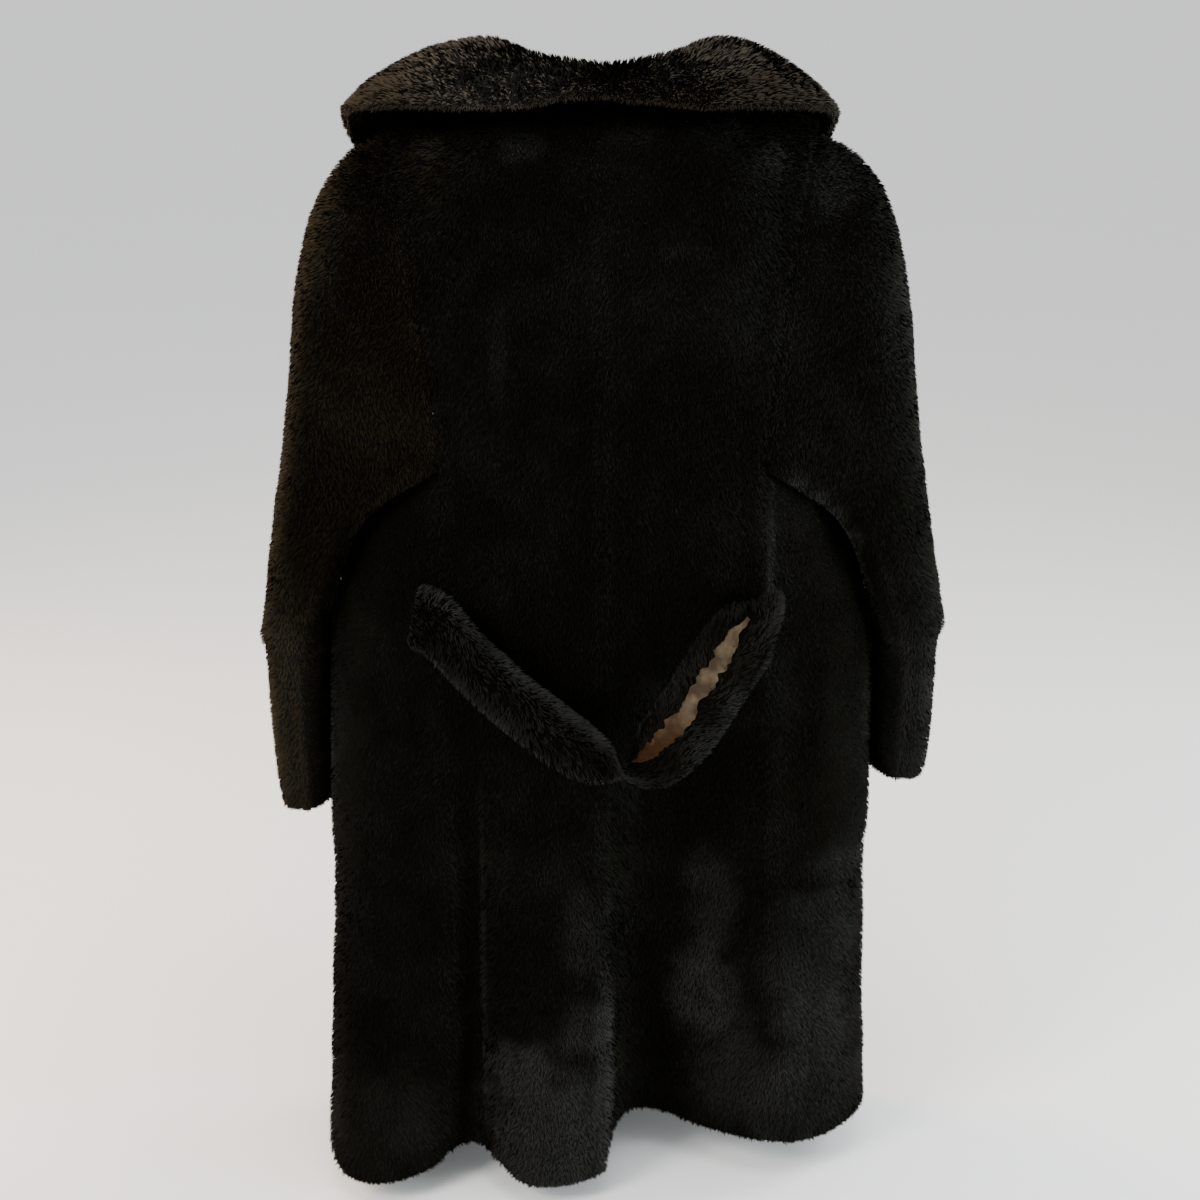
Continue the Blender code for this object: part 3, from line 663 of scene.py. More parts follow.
FRONT_FOLDS = both_sides(
    Fold((0.150, -0.10, -0.31), (0.075, -0.13, -0.42), 0.018, 0.0030, 0.010),
    Fold((0.190, -0.09, -0.38), (0.150, -0.12, -0.62), 0.018, 0.0032, -0.012),
    Fold((0.085, -0.13, -0.44), (0.100, -0.13, -0.80), 0.018, 0.0030, 0.008),
    Fold((0.205, 0.08, -0.38), (0.190, 0.10, -0.66), 0.016, 0.0032, 0.010),
    Fold((0.240, 0.05, -0.44), (0.235, 0.07, -0.84), 0.020, -0.0028, 0.010),
    Fold((0.215, 0.09, -0.72), (0.222, 0.10, -1.02), 0.018, 0.0026, -0.006),
    Fold((0.265, -0.01, -0.58), (0.283, -0.02, -1.00), 0.022, 0.0036, 0.008),
    Fold((0.045, -0.13, -0.70), (0.040, -0.14, -1.04), 0.018, 0.0030, -0.008),
    Fold((0.230, -0.08, -0.66), (0.240, -0.10, -1.00), 0.020, -0.0030, 0.006),
)
SLEEVE_FOLDS = both_sides(
    Fold((0.175, 0.10, -0.30), (0.265, 0.09, -0.35), 0.013, 0.0036, 0.010),
    Fold((0.190, 0.10, -0.25), (0.275, 0.09, -0.24), 0.015, 0.0028, -0.008),
    Fold((0.240, 0.09, -0.38), (0.320, 0.06, -0.40), 0.012, 0.0036, 0.006),
    Fold((0.262, 0.08, -0.43), (0.325, 0.05, -0.45), 0.010, 0.0030, -0.006),
    Fold((0.268, 0.07, -0.48), (0.335, 0.04, -0.49), 0.010, -0.0026, 0.004),
    Fold((0.215, 0.09, -0.08), (0.250, 0.10, -0.20), 0.018, 0.0030, 0.008),
    Fold((0.240, -0.09, -0.34), (0.318, -0.08, -0.38), 0.013, 0.0034, -0.006),
    Fold((0.255, -0.09, -0.42), (0.325, -0.08, -0.44), 0.011, 0.0030, 0.006),
    Fold((0.190, -0.09, -0.16), (0.270, -0.09, -0.24), 0.016, 0.0028, 0.008),
    Fold((0.285, 0.02, -0.12), (0.305, 0.02, -0.30), 0.020, -0.0024, 0.006),
)
CUFF_FOLDS = both_sides(
    Fold((0.285, 0.05, -0.56), (0.335, 0.03, -0.57), 0.010, 0.0030, 0.004),
    Fold((0.285, 0.04, -0.61), (0.330, 0.02, -0.60), 0.009, 0.0022, -0.004),
    Fold((0.290, -0.07, -0.58), (0.330, -0.07, -0.59), 0.010, 0.0026, 0.004),
)
COLLAR_FOLDS = (
    Fold((0.055, 0.10, 0.04), (0.075, 0.13, 0.01), 0.016, 0.0030),
    Fold((0.125, 0.08, 0.05), (0.150, 0.11, 0.02), 0.018, 0.0034),
    Fold((-0.020, 0.10, 0.03), (-0.028, 0.12, 0.01), 0.014, 0.0026),
    Fold((-0.080, 0.09, 0.04), (-0.100, 0.12, 0.01), 0.016, 0.0030),
    Fold((-0.150, 0.05, 0.04), (-0.180, 0.07, 0.01), 0.018, 0.0034),
    Fold((0.130, -0.10, -0.05), (0.190, -0.11, -0.10), 0.020, 0.0034),
    Fold((-0.120, -0.10, -0.05), (-0.170, -0.11, -0.11), 0.020, 0.0034),
)


# --- Wool ---


TOP_FADE = 0.005  # how soft a cut-off patch's upper edge is
# noises as rows of strength, scale per metre and offset
SAGS = ((0.0011, 17.0, 3.1), (0.0006, 41.0, 8.7))
SPECKLES = ((0.10, 9.0, 2.2), (0.06, 33.0, 6.1))
PATCH_BORDER = ((0.15, 20.0, 4.4), (0.13, 60.0, 9.4))
PATCH_BODY = ((0.22, 34.0, 12.7),)
# the same on the belt, where the first two are counted along its line
WOOL_EDGE = ((0.40, 1.9, 0.0), (0.30, 6.3, 2.0))
LINING_EDGE = ((0.30, 2.3, 0.0), (0.34, 6.1, 3.0))
RUCKS = ((0.0007, 95.0, 1.0), (0.0005, 210.0, 2.0))


@dataclass(frozen=True)
class RuffleSheenPatch:
    """A patch where the nap is brushed up and painted paler with sheen."""

    x: float
    y: float
    z: float
    reach_x: float
    reach_z: float
    strength: float
    top: float = 9.0
    reach_y: float = 0.11

    def at(self, points: Points, border: np.ndarray) -> np.ndarray:
        """How far this patch brushes each point's nap up and paints it paler with sheen.

        Args:
            points: rows of x, y and z.
            border: a noise that makes the patch's outline uneven.

        Returns:
            Values from 0 to the patch's strength.
        """
        far = ((points[:, 0] - self.x) / self.reach_x) ** 2
        far = far + ((points[:, 2] - self.z) / self.reach_z) ** 2
        far = far + ((points[:, 1] - self.y) / self.reach_y) ** 2
        near = np.exp(-far)
        core = ease((near - 0.12 + border * np.sqrt(near)) / 0.65)
        return self.strength * core * ease((self.top - points[:, 2]) / TOP_FADE)


# patches where the nap stands up and the wool is painted paler: painted sheen, and painted
# highlights along creases and edges
RUFFLE_SHEEN_PATCHES = (
    # painted sheen on the flutes of the skirt, with painted highlights along a flute's crease and
    # on its right flank
    RuffleSheenPatch(0.058, 0.14, -1.035, 0.070, 0.115, 1.00),
    RuffleSheenPatch(0.118, 0.115, -0.860, 0.004, 0.210, 0.40),
    RuffleSheenPatch(0.086, 0.14, -0.945, 0.030, 0.035, 0.60),
    RuffleSheenPatch(0.022, 0.13, -0.800, 0.020, 0.050, 0.30),
    RuffleSheenPatch(0.012, 0.13, -0.900, 0.024, 0.036, 0.50),
    RuffleSheenPatch(-0.001, 0.11, -0.965, 0.009, 0.120, 1.00),
    RuffleSheenPatch(-0.110, 0.07, -0.775, 0.028, 0.055, 0.45),
    RuffleSheenPatch(-0.105, 0.07, -0.885, 0.038, 0.056, 1.00),
    RuffleSheenPatch(-0.140, 0.09, -0.985, 0.060, 0.070, 0.45),
    RuffleSheenPatch(-0.215, 0.07, -0.850, 0.056, 0.110, 0.38, -0.768),
    RuffleSheenPatch(-0.212, 0.07, -0.985, 0.060, 0.110, 0.34),
    RuffleSheenPatch(-0.235, 0.03, -0.745, 0.030, 0.026, 0.40),
    RuffleSheenPatch(0.225, 0.10, -1.010, 0.070, 0.070, 0.28),
    # painted sheen on the collar, more on its left
    RuffleSheenPatch(0.100, 0.08, 0.035, 0.080, 0.034, 0.75),
    RuffleSheenPatch(0.050, 0.08, 0.020, 0.034, 0.024, 0.35),
    RuffleSheenPatch(-0.105, 0.06, 0.045, 0.080, 0.022, 0.35),
    # painted sheen spots on the upper back, below the collar
    RuffleSheenPatch(0.164, 0.10, -0.034, 0.018, 0.013, 0.40),
    RuffleSheenPatch(0.071, 0.12, -0.034, 0.022, 0.014, 0.45),
    RuffleSheenPatch(-0.031, 0.12, -0.022, 0.030, 0.012, 0.40),
    RuffleSheenPatch(-0.107, 0.11, -0.020, 0.028, 0.014, 0.50),
    RuffleSheenPatch(-0.211, 0.05, -0.067, 0.030, 0.032, 0.42),
    RuffleSheenPatch(-0.160, 0.10, -0.045, 0.020, 0.020, 0.30),
    RuffleSheenPatch(0.095, 0.12, -0.215, 0.010, 0.050, 0.20),
    RuffleSheenPatch(-0.072, 0.12, -0.125, 0.034, 0.010, 0.16),
    # painted sheen on the sleeves, and painted light on their cuffs
    RuffleSheenPatch(0.262, 0.08, -0.100, 0.034, 0.070, 0.30),
    RuffleSheenPatch(0.305, 0.03, -0.610, 0.055, 0.120, 0.85),
    RuffleSheenPatch(-0.300, 0.03, -0.590, 0.050, 0.100, 0.40),
    RuffleSheenPatch(-0.285, 0.04, -0.200, 0.030, 0.060, 0.22),
    RuffleSheenPatch(0.315, 0.02, -0.330, 0.022, 0.200, 0.30),
    # painted highlights along the side-back seam over the belt, and along the right sleeve's lower
    # edge
    RuffleSheenPatch(-0.160, 0.11, -0.430, 0.004, 0.090, 0.50),
    RuffleSheenPatch(-0.184, 0.10, -0.345, 0.012, 0.010, 0.50),
    RuffleSheenPatch(-0.204, 0.09, -0.362, 0.014, 0.010, 0.55),
    RuffleSheenPatch(-0.224, 0.08, -0.382, 0.012, 0.014, 0.55),
    RuffleSheenPatch(-0.242, 0.07, -0.412, 0.010, 0.020, 0.50),
    # painted sheen patches on the hidden front
    RuffleSheenPatch(0.120, -0.12, -0.860, 0.060, 0.110, 0.45),
    RuffleSheenPatch(-0.150, -0.11, -0.960, 0.060, 0.090, 0.50),
    RuffleSheenPatch(-0.060, -0.13, -0.620, 0.040, 0.090, 0.25),
    RuffleSheenPatch(0.200, -0.11, -0.500, 0.035, 0.070, 0.25),
    RuffleSheenPatch(0.150, -0.15, -0.120, 0.050, 0.070, 0.35),
    RuffleSheenPatch(-0.160, -0.14, -0.160, 0.045, 0.060, 0.35),
)


@dataclass(frozen=True)
class Pile:
    """How the wool stands on a piece; its density is in tufts a square metre."""

    density: float = 0.0
    length: float = 0.0058
    width: float = 0.0012
    lift: float = 52.0
    clump: float = 0.20
    wander: float = 26.0
    height: float = 0.0044
    # an even painted sheen over the whole piece, added to its tufts' paleness
    even_painted_sheen: float = 0.0
    seed: int = 7


@dataclass
class Roots:
    """Where tufts grow: their places, the way out, the way they lie and their sizes."""

    place: Points
    out: Points
    lie: Points
    scale: np.ndarray
    nap_and_painted_sheen: np.ndarray
    lift: np.ndarray

    @staticmethod
    def joined(parts: list["Roots"]) -> "Roots":
        """Several sets of roots as one."""
        names = ("place", "out", "lie", "scale", "nap_and_painted_sheen", "lift")
        return Roots(*(np.concatenate([getattr(p, n) for p in parts]) for n in names))


BEND = 0.45  # how far up a tuft its bend is
LOCK = 9  # how many tufts lean together
LENGTHS = (0.78, 1.12)
WIDTHS = (0.8, 1.25)
PULLS = (0.5, 1.3)
ROLL = 1.1
LIFT_SPREAD = 8
STEEPEST = 1.45
TINT_SPREAD = 0.06
TUFT_CORNERS, TUFT_LOOPS = 4, 6


def tuft_mesh(name: str, roots: Roots, pile: Pile) -> Object:
    """Builds the tufts: each is a narrow leaf of two triangles, wide at the root and bent.

    Args:
        name: the piece's name.
        roots: where the tufts grow.
        pile: the wool's sizes.

    Returns:
        One object with all the tufts of the piece.
    """
    rng = np.random.default_rng(pile.seed)
    count = len(roots.place)
    length = pile.length * roots.scale * rng.uniform(*LENGTHS, count)
    lift = np.radians(roots.lift + rng.normal(0, LIFT_SPREAD, count))
    first, second = np.minimum(lift * 1.05 + 0.05, STEEPEST), lift * 0.75
    rise = roots.out * np.sin(first)[:, None] + roots.lie * np.cos(first)[:, None]
    droop = roots.out * np.sin(second)[:, None] + roots.lie * np.cos(second)[:, None]
    middle = roots.place + rise * (BEND * length)[:, None]
    tip = middle + droop * ((1 - BEND) * length)[:, None]
    # neighbouring tips lean together into small locks
    leaders = rng.choice(count, max(1, count // LOCK), replace=False)
    lead = leaders[closest(roots.place, roots.place[leaders])[0]]
    pull = (pile.clump * rng.uniform(*PULLS, count))[:, None]
    tip = tip + pull * (tip[lead] - tip)
    middle = middle + 0.4 * pull * (middle[lead] - middle)
    roll = rng.uniform(-ROLL, ROLL, count)[:, None]
    side = unit(np.cross(roots.lie, roots.out))
    side = side * np.cos(roll) + unit(np.cross(side, droop)) * np.sin(roll)
    half = (0.5 * pile.width * np.sqrt(roots.scale) * rng.uniform(*WIDTHS, count))[:, None]
    hand = rng.choice([-1.0, 1.0], count)[:, None]
    edge = side * half * hand
    corners = np.stack([roots.place - edge, roots.place + edge, middle - 0.9 * edge, tip], axis=1)
    mesh = bpy.data.meshes.new(name)
    mesh.vertices.add(TUFT_CORNERS * count)
    mesh.vertices.foreach_set("co", corners.reshape(-1))
    # the mirrored half of the leaves is wound the other way, so that all face outwards
    order = np.where(hand > 0, np.array([[0, 1, 2, 2, 1, 3]]), np.array([[1, 0, 2, 1, 2, 3]]))
    loops = TUFT_CORNERS * np.arange(count)[:, None] + order
    mesh.loops.add(TUFT_LOOPS * count)
    mesh.loops.foreach_set("vertex_index", loops.reshape(-1).astype(np.int32))
    mesh.polygons.add(2 * count)
    starts = np.arange(0, TUFT_LOOPS * count, 3, dtype=np.int32)
    mesh.polygons.foreach_set("loop_start", starts)
    mesh.polygons.foreach_set("use_smooth", np.ones(2 * count, dtype=bool))
    # the tufts' paleness: the patches' painted sheen, the piece's even painted sheen, and a little
    # chance
    tint = roots.nap_and_painted_sheen + pile.even_painted_sheen + rng.normal(0, TINT_SPREAD, count)
    tint = np.clip(tint, 0.02, 0.98)[:, None]
    across = tint + np.array([[0.0, 0.01, -0.01, -0.01, 0.01, 0.0]])
    up = np.array([0.02, 0.03, 0.5, 0.98])[order]
    chart = mesh.uv_layers.new(name=PIECE_UV)
    chart.data.foreach_set("uv", np.stack([across, up], axis=2).reshape(-1))
    mesh.update(calc_edges=True)
    # the tufts are lit nearly as the surface under them, as a dense pile is
    soft = unit(roots.out + 0.25 * droop + 0.15 * np.sin(roll) * side)
    mesh.normals_split_custom_set_from_vertices(np.repeat(soft, TUFT_CORNERS, axis=0))
    return link_object(name, mesh)


@dataclass
class Rim:
    """A sheet's open border, edge by edge."""

    edges: np.ndarray
    inward: Points
    ends: Points
    free: np.ndarray


@dataclass
class Pelt:
    """One cut piece of shearling: its skin and its wool.

    joints are heights of cross seams, groove is the place (x under, z under) where the seam
    opens into a groove, whose wool is painted darker as shade, and turned is how far the wool
    goes round under a free edge. At a seam, seam_sink and seam_trim are the shares left of the
    sink and of the tufts' length; parting_place is how far from the seam the wool parts, and
    over what width, and the parted wool is painted paler, with sheen.
    """

    node: str
    wool: Wool
    underwool: Underwool
    flat: tuple[float, float]
    area: float
    held: str = "hung"
    wall: float = PANEL_WALL
    nap: Nap = Nap.DOWN
    pile: Pile = Pile()
    folds: tuple[Fold, ...] = ()
    joints: tuple[float, ...] = ()
    skin: float = 0.0035
    hem_lift: float = 0.005
    seam_reach: float = 0.0024
    seam_fade: float = 0.006
    seam_sink: float = 0.35
    seam_rise: float = 0.028
    seam_trim: float = 0.6
    touch_swell: float = 0.0012
    contact_trim: float = 0.4
    ruffle_lift: float = 16.0
    joint_width: float = 0.004
    joint_waver: float = 0.004
    fringe_density: float = 5000.0
    fringe_scale: float = 0.50
    fringe_lift: float = 6.0
    allowance: float = 0.008
    turned: float = 0.0
    under_scale: float = 0.75
    under_lift: float = 0.7
    parting_sheen: float = 0.10
    parting_place: tuple[float, float] = (0.006, 0.004)
    groove_widths: tuple[float, float] = (0.0022, 0.0026)
    groove: tuple[float, float] | None = None
    free_below: float = -9.0
    free_front: bool = False

    def build(self) -> None:
        skin = outer_sheet(self.node, f"{self.node}_skin", self.wall)
        apply_modifier(
            skin, "SUBSURF", levels=2, render_levels=2, boundary_smooth="PRESERVE_CORNERS"
        )
        self.shape(skin.data)
        roots = self.plant(skin.data)
        wool = tuft_mesh(f"{self.node}_wool", roots, self.pile)
        wool.data.materials.append(self.wool.material())
        self.turn_in(skin.data)
        # the painted sheen that the underwool's colour reads
        pale = skin.data.attributes.new(PAINTED_SHEEN, "FLOAT", "POINT")
        pale.data.foreach_set("value", self.ruffled_painted_sheen(places(skin.data)))
        apply_modifier(
            skin, "SOLIDIFY", thickness=self.skin, offset=-1.0,
            material_offset=1, material_offset_rim=1,
        )
        skin.data.materials.append(self.underwool.material())
        skin.data.materials.append(Suede(f"{self.node}_suede").material())
        soften(skin)
        for piece in (skin, wool):
            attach(piece, "root")
        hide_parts(self.node)
        faces, tufts = len(skin.data.polygons), len(roots.place)
        log.info("%s: skin %d faces, wool %d tufts", self.node, faces, tufts)

    def shape(self, mesh: Mesh) -> None:
        """Works the folds into the sheet and draws it in by the wool's height.

        Args:
            mesh: the sheet's mesh.
        """
        points, normals = places(mesh), outward(mesh)
        rim = self.rim(mesh, points, normals)
        nearest, away = closest(points, rim.ends[~rim.free])
        sink = np.full(len(points), self.pile.height)
        for fold in self.folds:
            sink += fold.press(points, normals)
        sink += clouds(points, SAGS)
        sink = np.clip(sink, 0.5 * self.pile.height, None)
        sink *= rising(self.seam_sink, ease(away / self.seam_rise))
        # where sleeve and body touch, the skins stand out a little, so no light gets through
        touch = self.contact(points, normals)
        sink = sink * (1 - touch) - self.touch_swell * touch
        points = points - normals * sink[:, None]
        # the skins overlap in their seams, and more so where three of them meet
        meeting = np.hypot(np.abs(points[:, 0]) - MEETING[0], points[:, 2] - MEETING[1])
        reach = self.seam_reach * (1 + 1.6 * ease((0.014 - meeting) / 0.008))
        reach = reach * np.exp(-away / self.seam_fade)
        points = points - rim.inward[~rim.free][nearest] * reach[:, None]
        low = ease((self.free_below - points[:, 2]) / 0.05)
        points[:, 2] += self.hem_lift * low
        put_back(mesh, points)

    def contact(self, points: Points, normals: Points) -> np.ndarray:
        """How closely a sleeve and the body's side lie together, from 0 to 1.

        Args:
            points: rows of x, y and z.
            normals: the surface's direction at each of them.

        Returns:
            One value for each row.
        """
        top, end = CONTACT
        along = ease((top - points[:, 2]) / 0.04) * ease((points[:, 2] - end) / 0.05)
        towards = 1 if self.node.startswith("front") else -1
        facing = normals[:, 0] * np.sign(points[:, 0]) * towards
        middle = ease((0.10 - np.abs(points[:, 1] - 0.01)) / 0.03)
        return along * ease((facing - 0.25) / 0.35) * middle

    def turn_in(self, mesh: Mesh) -> None:
        """Folds a seam allowance in along the sewn edges.

        Args:
            mesh: the sheet's mesh.
        """
        rim = self.rim(mesh, places(mesh), outward(mesh))
        wanted = {tuple(sorted(pair)) for pair in rim.edges[~rim.free].tolist()}
        bm = bmesh.new()
        bm.from_mesh(mesh)
        chosen = [e for e in bm.edges if tuple(sorted(v.index for v in e.verts)) in wanted]
        ways = {v.index: v.normal.copy() for e in chosen for v in e.verts}
        near = {tuple(v.co): ways[v.index] for e in chosen for v in e.verts}
        made = bmesh.ops.extrude_edge_only(bm, edges=chosen)["geom"]
        for vert in made:
            if isinstance(vert, bmesh.types.BMVert):
                vert.co -= near[tuple(vert.co)] * self.allowance
        bm.to_mesh(mesh)
        bm.free()

    def lie_of(self, points: Points, normals: Points) -> Points:
        """The way in which the wool lies at each point.

        Args:
            points: rows of x, y and z.
            normals: the surface's direction at each of them.

        Returns:
            Directions along the surface.
        """
        if self.nap is Nap.OFF_THE_NECK:
            way = points - np.array(NECK)
            way[:, 2] *= 0.6
        else:
            way = np.broadcast_to(np.array([0.0, 0.0, -1.0]), points.shape).copy()
        wander = self.pile.wander
        turn = clouds(points, ((wander, 15.0, 1.7), (0.6 * wander, 60.0, 5.3)))
        return swing(unit(square_to(way, normals)), normals, turn)

    def plant(self, mesh: Mesh) -> Roots:
        """Spreads the tufts' roots over the sheet and round its free edges.

        Args:
            mesh: the sheet's mesh.

        Returns:
            The roots.
        """
        rng = np.random.default_rng(self.pile.seed)
        points, normals = places(mesh), outward(mesh)
        place, out = self.scatter(rng, mesh, points, normals)
        rim = self.rim(mesh, points, normals)
        _, away = closest(place, rim.ends[~rim.free])
        # shorter along the seams, and parted beside them, where the parted wool gets painted sheen
        scale = rising(self.seam_trim, ease(away / self.seam_fade))
        nap_and_painted_sheen = self.ruffled_painted_sheen(place) + self.parting_sheen * hump(away, *self.parting_place)
        for joint in self.joints:
            close = np.abs(place[:, 2] - joint - self.joint_waver * np.sin(30 * place[:, 0]))
            scale *= rising(self.seam_trim, ease(close / self.joint_width))
        scale *= 1 - self.contact_trim * self.contact(place, out)
        if self.groove:
            side, top = self.groove
            low = ease((top - place[:, 2]) / 0.05) * (place[:, 0] < side)
            trim_width, flat_and_shade_width = self.groove_widths
            scale *= 1 - 0.8 * low * hump(away, 0.0, trim_width)
            # the wool in the groove lies flatter and is painted darker, as shade
            nap_and_painted_sheen -= 0.5 * low * hump(away, 0.0, flat_and_shade_width)
        lift = self.pile.lift + self.ruffle_lift * nap_and_painted_sheen
        roots = Roots(place, out, self.lie_of(place, out), scale, nap_and_painted_sheen, lift)
        parts = [roots]
        if rim.free.any():
            parts.append(self.fringe(rng, points, normals, rim))
        if self.turned:
            parts.append(self.underside(roots, rim))
        return Roots.joined(parts)

    def scatter(
        self, rng: np.random.Generator, mesh: Mesh, points: Points, normals: Points
    ) -> tuple[Points, Points]:
        """Spreads places evenly over the sheet.

        Args:
            rng: the seeded source of chance.
            mesh: the sheet's mesh.
            points: its points.
            normals: the directions out of it.

        Returns:
            The places, and the surface's direction at each of them.
        """
        mesh.calc_loop_triangles()
        corners = np.empty(3 * len(mesh.loop_triangles), dtype=np.int32)
        mesh.loop_triangles.foreach_get("vertices", corners)
        corners = corners.reshape(-1, 3)
        a, b, c = (points[corners[:, k]] for k in range(3))
        areas = 0.5 * np.linalg.norm(np.cross(b - a, c - a), axis=1)
        count = int(self.pile.density * areas.sum())
        marks = (np.arange(count) + rng.random(count)) / count * areas.sum()
        chosen = np.clip(np.searchsorted(np.cumsum(areas), marks), 0, len(areas) - 1)
        u, v = rng.random((2, count))
        fold_back = u + v > 1
        u[fold_back], v[fold_back] = 1 - u[fold_back], 1 - v[fold_back]
        weights = np.stack([1 - u - v, u, v], axis=1)[:, :, None]
        place = np.sum(points[corners[chosen]] * weights, axis=1)
        return place, unit(np.sum(normals[corners[chosen]] * weights, axis=1))

    def underside(self, roots: Roots, rim: Rim) -> Roots:
        """Roots on the inner face, where the wool goes round under the free edges.

        Args:
            roots: the roots on the outer face.
            rim: the sheet's border.

        Returns:
            The roots.
        """
        edge, away = closest(roots.place, rim.ends[rim.free])
        under = away < self.turned * (1 + 0.3 * cloud(roots.place, 60.0, 7.7))
        out = -roots.out[under]
        lie = unit(square_to(-rim.inward[rim.free][edge[under]], out))
        place = roots.place[under] + out * self.skin
        scale, lift = np.full(len(place), self.under_scale), roots.lift[under] * self.under_lift
        return Roots(place, out, lie, scale, roots.nap_and_painted_sheen[under], lift)

    def rim(self, mesh: Mesh, points: Points, normals: Points) -> Rim:
        """Finds the sheet's open edges, as pairs of points' numbers, and tells which are free.

        Args:
            mesh: the sheet's mesh.
            points: its points.
            normals: the directions out of it.

        Returns:
            The edges, the way into the sheet, the edges' middles, and True for a free edge.
        """
        bm = bmesh.new()
        bm.from_mesh(mesh)
        pairs, inward = [], []
        for edge in bm.edges:
            if edge.is_boundary:
                a, b = edge.verts
                pairs.append((a.index, b.index))
                middle = (a.co + b.co) / 2
                inward.append(edge.link_faces[0].calc_center_median() - middle)
        bm.free()
        pairs = np.array(pairs)
        along = unit(points[pairs[:, 1]] - points[pairs[:, 0]])
        inward = square_to(np.array([tuple(v) for v in inward]), along)
        ends = points[pairs].mean(axis=1)
        return Rim(pairs, unit(inward), ends, self.is_free(ends, normals[pairs].mean(axis=1)))

    def is_free(self, ends: Points, out: Points) -> np.ndarray:
        """Tells the free edges from the seams.

        Args:
            ends: places on the border.
            out: the surface's direction at each of them.

        Returns:
            True where the edge is free.
        """
        if self.nap is Nap.OFF_THE_NECK:
            away_from_neck = ends - np.array(NECK)
            away_from_neck[:, 2] = 0
            return np.sum(out * away_from_neck, axis=1) > 0
        free = ends[:, 2] < self.free_below
        if self.free_front:
            free |= (np.abs(ends[:, 0]) < 0.006) & (ends[:, 1] < -0.05)
        return free

    def fringe(
        self, rng: np.random.Generator, points: Points, normals: Points, rim: Rim
    ) -> Roots:
        """Roots on the free edges, so that the wool turns over them.

        Args:
            rng: the seeded source of chance.
            points: the sheet's points.
            normals: the directions out of it.
            rim: the sheet's border.

        Returns:
            The roots.
        """
        edges, inward = rim.edges[rim.free], rim.inward[rim.free]
        a, b = points[edges[:, 0]], points[edges[:, 1]]
        lengths = np.linalg.norm(b - a, axis=1)
        count = int(lengths.sum() * self.fringe_density)
        chosen = rng.choice(len(edges), count, p=lengths / lengths.sum())
        share = rng.random(count)[:, None]
        place = a[chosen] * (1 - share) + b[chosen] * share
        out = unit(normals[edges[chosen, 0]] * (1 - share) + normals[edges[chosen, 1]] * share)
        beyond = -inward[chosen]
        depth = rng.random(count)
        place = place - out * (depth * self.skin)[:, None]
        angle = np.radians(25 + 130 * depth + rng.normal(0, 10, count))[:, None]
        way = out * np.cos(angle) + beyond * np.sin(angle)
        up = -out * np.sin(angle) + beyond * np.cos(angle)
        along = np.cross(out, beyond)
        sway = rng.normal(0, 0.35, count)[:, None]
        lie = unit(0.7 * way + 0.3 * self.lie_of(place, out) + sway * along)
        up = unit(np.where(np.sum(up * lie, axis=1, keepdims=True) > 0, up, -up))
        up = unit(out + up * 0.2)
        scale, lift = np.full(count, self.fringe_scale), np.full(count, self.fringe_lift)
        return Roots(place, up, lie, scale, self.ruffled_painted_sheen(place), lift)

    def ruffled_painted_sheen(self, place: Points) -> np.ndarray:
        """How far the nap is brushed up at each place, and how much painted sheen it gets, from 0
        to 1.

        Args:
            place: rows of x, y and z.

        Returns:
            One value for each row.
        """
        value = clouds(place, SPECKLES, 0.05)
        border = clouds(place, PATCH_BORDER) - 0.04
        body = clouds(place, PATCH_BODY, 0.90)
        for patch in RUFFLE_SHEEN_PATCHES:
            value = value + patch.at(place, border) * body
        return np.clip(value, 0.0, 1.0)


# --- Belt ---


@dataclass(frozen=True)
class Hold:
    """A place on the belt's middle line, and how far the belt is rolled over there."""

    x: float
    y: float
    z: float
    turn: float


